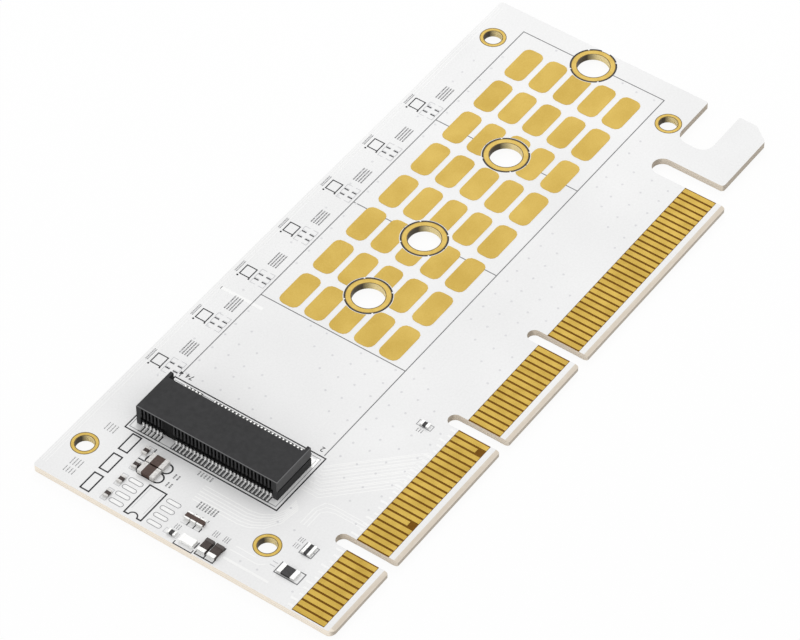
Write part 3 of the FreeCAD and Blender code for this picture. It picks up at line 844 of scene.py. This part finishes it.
@dataclass
class Inks:
    """The print layers that share the board's front, each a little above the one before."""

    datum: Datum
    dashes: tuple[float, ...] = (0.26, 0.14, 0.2)
    dash_gap: float = 0.07
    layers: dict[Ink, FlatMarks] = field(init=False)
    HEIGHTS: ClassVar[dict[Ink, float]] = {
        Ink.PALE: 0.008, Ink.GREY: 0.01, Ink.LINE: 0.011, Ink.DARK: 0.012,
    }

    def __post_init__(self) -> None:
        """Start the layers."""
        self.layers = {
            ink: FlatMarks(self.datum, ink.value.name, ink.value, height=height)
            for ink, height in self.HEIGHTS.items()
        }
        self.pale, self.grey, self.line, self.dark = self.layers.values()

    def lines(self, rows: Dashes, along: float = 0.0) -> None:
        """Lay rows of dashes, their lengths taken by turns.

        Args:
            rows: Their place, size and ink.
            along: Shift along the board.
        """
        start, stop = rows.x + along, rows.x + along + rows.wide
        for row in range(rows.rows):
            at, turn, level = start, row, rows.y + row * rows.step
            while at < stop:
                reach = min(self.dashes[turn % len(self.dashes)], stop - at)
                self.layers[rows.ink].bar(at, level, at + reach, level + rows.thick)
                at += reach + self.dash_gap
                turn += 1

    def lay(self) -> None:
        """Finish the layers."""
        for layer in self.layers.values():
            layer.lay()


@dataclass
class SocketSurround:
    """Print, solder lands and end numbers round the module socket."""

    datum: Datum
    inks: Inks
    outer_back: float = 1.4
    outer_front: float = 1.89
    outer_end: float = 0.9
    outer_line: float = 0.18
    inner_gap: float = 0.48
    inner_top_gap: float = 0.384
    inner_line: float = 0.09
    land_reach: float = 0.12
    land_width: float = 0.5
    land_line: float = 0.15
    land_cover: float = 0.9
    tail_pitch: float = 0.5454
    half_tail: float = 0.1
    tab_ends: Point = (0.02, 0.36)
    tab_sides: Point = (0.3, 0.35)
    digit_size: float = 1.1
    digit_gap: float = 0.95
    digit_places: Point = (1.6, 1.3)
    arrow: float = 0.34
    arrow_place: Point = (-0.1, -0.35)

    def build(self) -> None:
        """Lay the outlines, the lands and the numbers."""
        low, high = self.datum.local("socket_housing")
        left, right = low.x - self.outer_back, high.x + self.outer_front
        bottom, top = low.y - self.outer_end, high.y + self.outer_end
        self.inks.dark.box((left, bottom, right, top), self.outer_line)
        gap = self.inner_gap
        inner = (left + gap, bottom + gap, right - gap, top - self.inner_top_gap)
        self.inks.grey.box(inner, self.inner_line)
        self.lands()
        self.numbers(right + self.digit_gap, bottom, top)

    def lands(self) -> None:
        """Put a solder land under every row of tails and under the hold-downs, and a dark line of
        painted shade round each tail's land.
        """
        lands = FlatMarks(self.datum, "socket_lands", SOLDER, height=0.02, slot=Slot.TIN)
        # painted shade: a dark line round each tail's land, so that shade lies between the feet
        rims = FlatMarks(self.datum, "socket_land_shades", LAND_SHADE, height=0.03, slot=Slot.TIN)
        for node, inward in (("socket_tails_back", 1.0), ("socket_tails_front", -1.0)):
            low, high = self.datum.local(node)
            count = round((high.y - low.y - 2 * self.half_tail) / self.tail_pitch) + 1
            far = low.x if inward > 0 else high.x
            for index in range(count):
                middle = low.y + self.half_tail + index * self.tail_pitch
                if self.in_key(middle):
                    continue
                ends = sorted((far - inward * self.land_reach, far + inward * self.land_cover))
                half = self.land_width / 2
                land = (ends[0], middle - half, ends[1], middle + half)
                lands.bars(land)
                rims.box(land, self.land_line)
        low, high = self.datum.local("socket_hold_downs")
        for level, outward in ((low.y, -1.0), (high.y, 1.0)):
            ends = sorted(level + outward * reach for reach in self.tab_ends)
            lands.bar(low.x - self.tab_sides[0], ends[0], high.x + self.tab_sides[1], ends[1])
        lands.lay()
        rims.lay()

    def in_key(self, y: float) -> bool:
        """Tell whether a distance across the board lies in the socket's key gap."""
        low, high = self.datum.local("socket_housing")
        return KEY_GAP[0] < (y - low.y) / (high.y - low.y) < KEY_GAP[1]

    def numbers(self, x: float, bottom: float, top: float) -> None:
        """Print the contact numbers at the two ends, and a small arrow beside the higher one.

        Args:
            x: Middle of the numbers.
            bottom: Lower side of the outline.
            top: Upper side of the outline.
        """
        marks = FlatMarks(self.datum, "socket_numbers", Ink.DARK.value)
        inward = self.digit_places
        for word, y in (("74", top - inward[0]), ("2", bottom + inward[1])):
            curve = bpy.data.curves.new("number_" + word, "FONT")
            curve.body = word
            curve.size = self.digit_size * MM
            curve.extrude = marks.height * MM / 2
            curve.align_x = "CENTER"
            curve.align_y = "CENTER"
            writer = bpy.data.objects.new("number_" + word, curve)
            flat = bpy.data.meshes.new_from_object(writer)
            flat.transform(marks.matrix(x, y, 90.0))
            marks.mesh.from_mesh(flat)
            bpy.data.objects.remove(writer)
            bpy.data.curves.remove(curve)
            bpy.data.meshes.remove(flat)
        bmesh.ops.create_cone(
            marks.mesh, cap_ends=True, segments=3, radius1=self.arrow * MM,
            radius2=self.arrow * MM, depth=marks.height * MM,
            matrix=marks.matrix(x + self.arrow_place[0], top + self.arrow_place[1], 180.0),
        )
        marks.lay()


@dataclass
class ModuleField:
    """The module's outline, its length lines and the rings round the stand-off holes."""

    datum: Datum
    inks: Inks
    line: float = 0.13
    start: float = 20.75
    low: float = 13.17
    high: float = 35.18
    step_line: float = 37.5
    ring_line: float = 0.16
    ring_break: float = 4.0
    rim: float = 0.1
    flange: float = 0.79
    small_flange: float = 0.56
    arc_steps: int = 14
    STANDOFFS: ClassVar[tuple[str, ...]] = ("2230", "2242", "2260", "2280")
    CORNERS: ClassVar[tuple[str, ...]] = ("low_left", "low_right", "high_left", "high_right")

    def build(self) -> None:
        """Lay the lines and rings."""
        half = self.line / 2
        centres = [self.centre("standoff_hole_" + word) for word in self.STANDOFFS]
        end = centres[-1].x
        self.inks.line.bar(self.start, self.high - half, end + half, self.high + half)
        self.inks.line.bar(self.start, self.low - half, end + half, self.low + half)
        low, high = self.low + half, self.high - half
        self.inks.line.bar(self.step_line - half, low, self.step_line + half, high)
        outer = self.radius("standoff_hole_2230") + self.ring_line
        for centre in centres[1:]:
            for start, stop in ((low, centre.y - outer), (centre.y + outer, high)):
                self.inks.line.bar(centre.x - half, start, centre.x + half, stop)
        edge = self.datum.local("board")[1].x
        half_break = self.ring_break / 2
        for centre in centres:
            room = min((edge - centre.x) / outer, 1.0)
            clipped = math.degrees(math.acos(room))
            sweeps = [(45.0 + 90.0 * quarter + half_break, 90.0 - self.ring_break)
                      for quarter in range(3)]
            sweeps += [(clipped, 45.0 - half_break - clipped),
                       (-45.0 + half_break, 45.0 - half_break - clipped)]
            for start, span in sweeps:
                self.inks.dark.arc(centre.x, centre.y, outer - self.ring_line / 2,
                                   self.ring_line, start, span, self.arc_steps)
        self.rims()

    def rims(self) -> None:
        """Edge every plated ring, inside and outside, with a darker line."""
        rims = FlatMarks(self.datum, "ring_rims", RING_RIM, height=0.008, slot=Slot.GOLD)
        for kind, words, flange in (
            ("standoff_hole_", self.STANDOFFS, self.flange),
            ("mount_hole_", self.CORNERS, self.small_flange),
        ):
            for word in words:
                centre = self.centre(kind + word)
                outer = self.radius(kind + word) - self.rim / 2
                inner = self.radius(kind + word) - flange + self.rim / 2
                rims.arc(centre.x, centre.y, outer, self.rim)
                rims.arc(centre.x, centre.y, inner, self.rim)
        rims.lay()

    def centre(self, node: str) -> Vector:
        """Give the middle of a solid's box."""
        low, high = self.datum.local(node)
        return (low + high) / 2

    def radius(self, node: str) -> float:
        """Give half the width of a solid's box."""
        low, high = self.datum.local(node)
        return (high.x - low.x) / 2


@dataclass
class PartMarks:
    """Outlines and brackets beside the small parts at the board's left end."""

    datum: Datum
    inks: Inks
    thick: float = 0.2
    empty_places: tuple[float, ...] = (-0.2, 3.5, 7.25)
    empty_size: Sides = (0.0, 32.65, 3.05, 34.15)
    chip_row: tuple[Point, ...] = ((-0.1, 1.95), (2.6, 4.7), (5.55, 7.6), (7.6, 9.85))
    chip_end: Sides = (0.0, 30.3, 0.82, 31.2)
    chip_line: float = 0.1
    chip_bracket: Bars = ((7.45, 30.2, 7.6, 31.2), (7.45, 30.1, 9.9, 30.24))
    capsule_radius: float = 0.88
    capsule_line: float = 0.22
    capsule_past: Point = (0.9, 0.6)
    eight_lead: Sides = (-0.18, 24.8, 5.08, 27.52)
    bite: Point = (0.58, 0.62)
    bite_line: float = 0.18
    guides: Bars = ((0.9, 25.25, 4.68, 25.32), (0.9, 27.0, 4.68, 27.07))
    leads: tuple[float, ...] = (0.5, 1.78, 3.06, 4.34)
    lead_rows: tuple[Point, ...] = ((28.0, 30.1), (22.3, 24.4))
    lead_radius: float = 0.36
    lead_line: float = 0.085
    land_half: float = 0.24
    land_end: float = 0.3
    lamp_places: Bars = ((0.12, 19.8, 0.98, 20.55), (0.12, 20.95, 0.98, 21.85))
    place_line: float = 0.09
    lamp_bracket: Bars = (
        (-0.68, 17.0, -0.54, 19.8), (-0.54, 19.68, -0.1, 19.8), (-0.54, 17.0, -0.1, 17.12),
    )
    strip_rows: tuple[float, ...] = (20.1, 19.17, 18.25)
    strip_tick: Sides = (-0.6, -0.07, 0.05, 0.07)
    strip_stub: Sides = (0.05, -0.06, 0.45, 0.06)
    strip_side: Sides = (-0.6, 18.3, -0.52, 21.0)
    input_brackets: Bars = (
        (-0.42, 14.0, -0.27, 16.8), (-0.42, 14.0, 0.35, 14.14), (-0.42, 15.33, 0.35, 15.47),
        (-0.42, 16.66, 0.35, 16.8), (0.2, 17.1, 1.3, 17.24), (1.9, 14.0, 2.4, 14.14),
        (2.28, 14.0, 2.42, 14.5), (2.1, 15.6, 2.42, 15.74),
    )
    bead_outline: Bars = (
        (2.78, 3.95, 2.93, 7.5), (2.93, 3.95, 4.72, 4.09), (2.93, 7.36, 4.72, 7.5),
        (4.58, 4.09, 4.72, 4.9),
    )
    bead_ticks: Bars = ((3.45, 7.75, 3.59, 8.5), (4.05, 7.75, 4.19, 8.5))
    pair_past: tuple[float, float, float] = (0.1, 0.3, 0.32)
    pair_line: float = 0.11
    pair_tick: float = 0.1
    single_past: Point = (0.12, 0.45)
    single_notes: Dashes = Dashes(-1.0, 5.8, 0.6, 3, 0.34, 0.12)
    notes: tuple[Dashes, ...] = (
        Dashes(0.8, 36.05, 0.9, 4, 0.42, 0.13), Dashes(2.1, 36.05, 1.2, 4, 0.42, 0.13),
        Dashes(8.8, 36.05, 1.3, 4, 0.42, 0.13), Dashes(5.9, 25.2, 0.8, 2, 0.5, 0.2, Ink.LINE),
        Dashes(7.4, 25.2, 0.8, 2, 0.5, 0.2, Ink.LINE), Dashes(9.5, 21.8, 0.7, 5, 0.46, 0.2),
        Dashes(1.4, 20.4, 0.8, 3, 0.3, 0.12), Dashes(5.4, 18.15, 1.1, 7, 0.42, 0.2, Ink.LINE),
        Dashes(3.05, 14.45, 0.9, 3, 0.3, 0.12), Dashes(3.05, 16.0, 0.9, 3, 0.3, 0.12),
        Dashes(7.25, 7.25, 0.7, 3, 0.3, 0.1), Dashes(8.3, 7.25, 0.7, 3, 0.3, 0.1),
    )

    def build(self) -> None:
        """Lay the marks of every small part."""
        for lay in (self.upper_row, self.bulk, self.eight_lead_place, self.lamp, self.network,
                    self.lower_parts):
            lay()
        self.inks.dark.bars(*self.input_brackets)
        for rows in self.notes:
            self.inks.lines(rows)

    def upper_row(self) -> None:
        """Mark the three empty places and the four chip parts below them."""
        for left in self.empty_places:
            self.inks.dark.box(self.empty_size, self.thick, left)
        for left, right in self.chip_row:
            for start in (left, right - self.chip_end[2]):
                self.inks.pale.box(self.chip_end, self.chip_line, start)
        self.inks.dark.bars(*self.chip_bracket)

    def bulk(self) -> None:
        """Draw a capsule round each larger capacitor."""
        low, high = self.datum.local("bulk_capacitor_terminals")
        middle = (low.x + high.x) / 2
        bottom, top = low.y - self.capsule_past[0], high.y + self.capsule_past[1]
        for side in (-1.0, 1.0):
            self.inks.dark.capsule(middle + side * self.capsule_radius, bottom, top,
                                   self.capsule_radius, self.capsule_line)

    def eight_lead_place(self) -> None:
        """Draw the empty place of an eight-lead chip, with a bite out of its near side."""
        (left, low, right, high), line = self.eight_lead, self.thick
        middle, (gap, radius) = (low + high) / 2, self.bite
        self.inks.dark.bars(
            (left, low, right, low + line), (left, high - line, right, high),
            (right - line, low + line, right, high - line),
            (left, low + line, left + line, middle - gap),
            (left, middle + gap, left + line, high - line),
        )
        self.inks.dark.arc(left + line / 2, middle, radius, self.bite_line, -90.0, 180.0,
                           FlatMarks.HALF_TURN_STEPS)
        self.inks.pale.bars(*self.guides)
        lands = FlatMarks(self.datum, "empty_lands", STUB, height=0.02)
        for middle in self.leads:
            for low, high in self.lead_rows:
                self.inks.grey.capsule(middle, low, high, self.lead_radius, self.lead_line)
                lands.bar(middle - self.land_half, low + self.land_end,
                          middle + self.land_half, high - self.land_end)
        lands.lay()

    def lamp(self) -> None:
        """Mark the lamp and its resistor."""
        for sides in self.lamp_places:
            self.inks.pale.box(sides, self.place_line)
        left = self.datum.local("indicator_led_terminals")[0].x
        self.inks.dark.bars(*self.lamp_bracket, along=left)

    def network(self) -> None:
        """Mark the terminal strip."""
        low, high = self.datum.local("network_terminals")
        for y in self.strip_rows:
            self.inks.dark.bars(self.strip_tick, along=low.x, across=y)
            self.inks.grey.bars(self.strip_stub, along=high.x, across=y)
        self.inks.pale.bars(self.strip_side, along=low.x)

    def lower_parts(self) -> None:
        """Outline the bead, the pair and the single part by the tongue."""
        self.inks.line.bars(*self.bead_outline)
        self.inks.pale.bars(*self.bead_ticks)
        low, high = self.datum.local("coupling_pair_terminals")
        aside, below, beyond = self.pair_past
        self.inks.line.box((low.x - aside, low.y - below, high.x + aside, high.y + beyond),
                           self.pair_line)
        middle, half = (low.x + high.x) / 2, self.pair_tick / 2
        for start, stop in ((low.y - below, low.y), (high.y, high.y + beyond)):
            self.inks.grey.bar(middle - half, start, middle + half, stop)
        low, high = self.datum.local("pull_resistor_terminals")
        aside, beyond = self.single_past
        self.inks.grey.box((low.x - aside, low.y - beyond, high.x + aside, high.y + beyond),
                           self.place_line)
        self.inks.lines(self.single_notes, low.x)


@dataclass
class LampRow:
    """The row of empty lamp places along the board's far side."""

    datum: Datum
    inks: Inks
    first: float = 20.65
    pitch: float = 9.07
    count: int = 7
    square: Sides = (0.0, 37.96, 1.82, 39.62)
    square_line: float = 0.15
    dot: tuple[float, float, float] = (-0.3, 39.6, 0.14)
    corner: Sides = (-0.25, 37.9, 0.0, 38.1)
    posts: Bars = (
        (0.35, 36.85, 0.51, 37.55), (0.35, 35.65, 0.51, 36.35),
        (1.31, 36.85, 1.47, 37.55), (1.31, 35.65, 1.47, 36.35),
    )
    columns: tuple[float, ...] = (-0.4, 0.56, 1.52)
    column: Bars = (
        (0.0, 35.55, 0.78, 35.65), (0.0, 35.65, 0.09, 36.35), (0.69, 35.65, 0.78, 36.35),
        (0.0, 37.55, 0.78, 37.65), (0.0, 36.85, 0.09, 37.55), (0.69, 36.85, 0.78, 37.55),
    )
    notes: tuple[Dashes, ...] = (
        Dashes(0.1, 40.0, 2.0, 2, 0.24, 0.14), Dashes(3.3, 36.3, 2.5, 4, 0.38, 0.18, Ink.LINE),
    )

    def build(self) -> None:
        """Lay every place's outlines."""
        for index in range(self.count):
            self.place(self.first + index * self.pitch)

    def place(self, left: float) -> None:
        """Lay one place.

        Args:
            left: Left side of its square.
        """
        x, y, radius = self.dot
        self.inks.dark.box(self.square, self.square_line, left)
        self.inks.dark.disc(left + x, y, radius, 10)
        self.inks.dark.bars(self.corner, *self.posts, along=left)
        for start in self.columns:
            self.inks.pale.bars(*self.column, along=left + start)
        for rows in self.notes:
            self.inks.lines(rows, left)


@dataclass(frozen=True)
class Bundle:
    """Traces side by side: the first one's corners, and each corner's step to the next trace."""

    count: int
    corners: Bars


@dataclass
class Copper:
    """Traces, finger stubs and through holes that show faintly under the mask."""

    datum: Datum
    trace: float = 0.15
    rise: float = 0.012
    trace_rise: float = 0.009
    via_radius: float = 0.16
    finger_top: float = 2.6
    socket_traces: int = 13
    socket_foot: float = 12.35
    first_end: float = 21.6
    end_step: float = 0.56
    knee: Point = (3.3, 0.12)
    shoulder: Point = (9.9, 0.2)
    bundles: tuple[Bundle, ...] = (
        Bundle(6, ((6.2, 22.0, 0.5, 0.0), (6.2, 15.4, 0.5, 0.0), (6.5, 13.9, 0.5, 0.0),
                   (7.5, 12.3, 0.475, 0.05), (9.3, 11.1, 0.4, 0.15), (12.2, 10.7, 0.2, 0.2))),
        Bundle(3, ((10.6, 8.3, 0.0, 0.5), (13.3, 8.3, 0.0, 0.5), (13.9, 7.7, 0.45, 0.5),
                   (14.2, 6.7, 0.45, 0.5), (14.2, 2.6, 0.45, 0.0))),
        Bundle(1, ((2.6, 13.6, 0.0, 0.0), (2.6, 9.6, 0.0, 0.0), (3.2, 8.9, 0.0, 0.0))),
        Bundle(1, ((3.4, 13.4, 0.0, 0.0), (3.4, 10.4, 0.0, 0.0))),
    )
    far_lines: tuple[float, ...] = (39.9, 40.3, 40.6)
    far_ends: Point = (0.6, 97.0)
    far_line: float = 0.08
    lone: Bars = ((1.0, 7.0, 1.35, 13.6), (35.35, 33.5, 35.85, 40.0))
    via_start: Point = (1.9, 3.95)
    via_columns: int = 38
    via_rows: int = 14
    via_step: float = 2.5
    via_stretch: float = 1.03
    via_wander: Point = (0.12, 0.1)
    stub_half: float = 0.16
    stub_gap: float = 0.14
    stub_reach: tuple[float, ...] = (0.9, 1.25, 0.7)
    hook_corner: Point = (82.6, 9.6)
    slots: tuple[float, ...] = (11.5, 34.5, 51.5)
    slot_reach: Point = (2.0, 5.4)
    parts_corner: Point = (12.0, 12.0)
    border: Point = (1.0, 1.4)
    clearance: float = 0.9
    BLOCKS: ClassVar[tuple[str, ...]] = (
        "socket_housing", "socket_tails_back", "socket_tails_front", "mount_hole_low_left",
        "mount_hole_low_right", "mount_hole_high_left", "mount_hole_high_right",
        "module_pads", "standoff_hole_2280", "pull_resistor_terminals",
        "coupling_pair_terminals", "filter_bead_terminals",
    )

    def build(self) -> None:
        """Lay the relief."""
        self.traces()
        self.stubs()
        self.vias()

    def traces(self) -> None:
        """Run the traces from the socket to the edge contacts and along the board's left part."""
        relief = FlatMarks(self.datum, "buried_traces", STUB, height=self.trace_rise)
        for index in range(self.socket_traces):
            end = self.first_end + index * self.end_step
            knee = self.knee[0] + (index % 3) * self.knee[1]
            top = self.shoulder[0] + index * self.shoulder[1]
            start = end - (top - knee)
            relief.ribbon([(start, self.socket_foot), (start, top), (end, knee),
                           (end, self.finger_top)], self.trace)
        for bundle in self.bundles:
            for index in range(bundle.count):
                relief.ribbon([(x + index * along, y + index * across)
                               for x, y, along, across in bundle.corners], self.trace)
        (start, end), half = self.far_ends, self.far_line / 2
        relief.bars(*((start, y - half, end, y + half) for y in self.far_lines), *self.lone)
        relief.lay()

    def stubs(self) -> None:
        """Lead a stub up from each contact of the first two sections, in three lengths by turns."""
        stubs = FlatMarks(self.datum, "finger_stubs", STUB, height=self.rise)
        low, high = self.datum.local("edge_contacts_front")
        for first, count in ((0, 11), (13, 21)):
            for index in range(count):
                x = low.x + self.datum.half_contact + first + index
                reach = self.stub_reach[(first + index) % len(self.stub_reach)]
                stubs.bar(x - self.stub_half, high.y + self.stub_gap, x + self.stub_half,
                          high.y + reach)
        stubs.lay()

    def vias(self) -> None:
        """Dot the board with covered through holes, on a loose square grid."""
        dots = FlatMarks(self.datum, "covered_vias", VIA, height=self.rise)
        (left, low), (along, across) = self.via_start, self.via_wander
        for column in range(self.via_columns):
            for row in range(self.via_rows):
                x = left + column * self.via_step + along * ((column * 5 + row * 3) % 4 - 1.5)
                y = low + row * self.via_step * self.via_stretch
                y += across * ((column * 3 + row * 7) % 3 - 1)
                if (column * 7 + row * 4) % 11 in (3, 6, 10) or self.taken(x, y):
                    continue
                dots.disc(x, y, self.via_radius, 8)
        dots.lay()

    def taken(self, x: float, y: float) -> bool:
        """Tell whether a place is under a part, in a hole or off the board.

        Args:
            x: Distance along the board.
            y: Distance across the board.

        Returns:
            True where no dot can go.
        """
        edge_low, edge_high = self.datum.local("board")
        by_hook = x > self.hook_corner[0] and y < self.hook_corner[1]
        by_slot = y < self.slot_reach[1] and any(
            abs(x - slot) < self.slot_reach[0] for slot in self.slots)
        by_parts = x < self.parts_corner[0] and y > self.parts_corner[1]
        inside = (edge_low.x + self.border[0] < x < edge_high.x - self.border[0]
                  and y < edge_high.y - self.border[1])
        if by_hook or by_slot or by_parts or not inside:
            return True
        gap = self.clearance
        return any(low.x - gap < x < high.x + gap and low.y - gap < y < high.y + gap
                   for low, high in map(self.datum.local, self.BLOCKS))


@dataclass(frozen=True)
class SoftLamp:
    """A square lamp that looks at the card."""

    name: str
    place: tuple[float, float, float]
    size: float
    power: float


@dataclass
class Studio:
    """Camera, lamps, floor and background."""

    aim: tuple[float, float, float] = (-4.706, 0.011, 1.0)
    distance: float = 553.16
    azimuth: float = 215.69
    elevation: float = 47.605
    roll: float = -0.158
    lens: float = 201.66
    film: float = 36.0
    soft: tuple[SoftLamp, ...] = (
        SoftLamp("soft_key", (300.0, 160.0, 360.0), 300.0, 0.7),
        SoftLamp("soft_side", (-420.0, 40.0, 80.0), 240.0, 0.18),
    )
    sky: float = 0.77
    floor_colour: Colour = shade(250, 250, 250)
    floor_half: float = 4000.0
    floor_drop: float = 0.2
    floor_glow: float = 0.92

    def build(self) -> None:
        """Set up the whole studio."""
        self.camera()
        self.lamps()
        self.background()
        self.floor()
        bpy.context.scene.view_settings.view_transform = "Standard"

    def outward(self) -> Vector:
        """Give the direction from the card to the camera.

        Returns:
            A vector one long.
        """
        turn, rise = math.radians(self.azimuth), math.radians(self.elevation)
        return Vector((math.cos(turn) * math.cos(rise), math.sin(turn) * math.cos(rise),
                       math.sin(rise)))

    def camera(self) -> None:
        """Place the camera on its sight line."""
        data = bpy.data.cameras.new("camera")
        data.lens = self.lens
        data.sensor_width = self.film
        data.clip_start = 0.01
        view = stand("camera", data)
        tilt = Matrix.Rotation(math.radians(self.roll), 4, "Z")
        place = (Vector(self.aim) + self.outward() * self.distance) * MM
        view.matrix_world = Matrix.Translation(place) @ sight(self.outward()) @ tilt
        bpy.context.scene.camera = view

    def lamps(self) -> None:
        """Hang one broad soft lamp beyond the far end, and a low one beside the left end."""
        for lamp in self.soft:
            data = bpy.data.lights.new(lamp.name, "AREA")
            data.energy = lamp.power
            data.size = lamp.size * MM
            place = Vector(lamp.place) * MM
            stand(lamp.name, data).matrix_world = Matrix.Translation(place) @ sight(place)

    def background(self) -> None:
        """Make the world a plain soft light that looks white from the camera."""
        world = bpy.data.worlds.new("studio")
        bpy.context.scene.world = world
        world.use_nodes = True
        chain = NodeChain(world.node_tree)
        world.node_tree.nodes.clear()
        light, white = (
            chain.fill(chain.add("ShaderNodeBackground"), {"Color": WHITE, "Strength": strength})
            for strength in (self.sky, 1.0)
        )
        mix = chain.fill(chain.add("ShaderNodeMixShader"), {
            0: self.seen(chain), 1: light.outputs[0], 2: white.outputs[0],
        })
        chain.fill(chain.add("ShaderNodeOutputWorld"), {0: mix.outputs[0]})

    @staticmethod
    def seen(chain: NodeChain) -> Socket:
        """Tell camera, glossy and transmission rays from the rest.

        Args:
            chain: The nodes to add to.

        Returns:
            A socket that is 1 for such rays.
        """
        path = chain.add("ShaderNodeLightPath")
        glossy = chain.math("ADD", path.outputs["Is Camera Ray"], path.outputs["Is Glossy Ray"])
        every = chain.math("ADD", glossy, path.outputs["Is Transmission Ray"])
        return chain.math("MINIMUM", every, 1.0)

    def floor(self) -> None:
        """Lay a pale floor just under the card, lightened for the camera."""
        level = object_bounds()[0].z - self.floor_drop * MM
        shape = bmesh.new()
        bmesh.ops.create_grid(
            shape, x_segments=1, y_segments=1, size=self.floor_half * MM,
            matrix=Matrix.Translation(Vector((0.0, 0.0, level))),
        )
        data = bpy.data.meshes.new("floor")
        shape.to_mesh(data)
        shape.free()
        material = bpy.data.materials.new("floor_paint")
        material.use_nodes = True
        chain = NodeChain(material.node_tree)
        shader = chain.fill(material.node_tree.nodes["Principled BSDF"], {
            "Base Color": self.floor_colour, "Roughness": 0.9, "Specular IOR Level": 0.0,
        })
        glow = chain.fill(chain.add("ShaderNodeEmission"), {"Color": WHITE})
        mix = chain.fill(chain.add("ShaderNodeMixShader"), {
            0: chain.times(self.seen(chain), self.floor_glow),
            1: shader.outputs[0], 2: glow.outputs[0],
        })
        chain.fill(material.node_tree.nodes["Material Output"], {0: mix.outputs[0]})
        data.materials.append(material)
        stand("floor", data)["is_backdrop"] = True


def main() -> None:
    """Load the card, dress its solids, add the print and the relief, and set the studio."""
    logging.basicConfig(level=logging.INFO, format="%(name)s: %(message)s")
    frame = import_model()
    datum = Datum()
    Dresser().dress(frame["nodes"])
    inks = Inks(datum)
    for marks in (SocketSurround, ModuleField, PartMarks, LampRow):
        marks(datum, inks).build()
    inks.lay()
    Copper(datum).build()
    Studio().build()


if __name__ == "__main__":
    main()
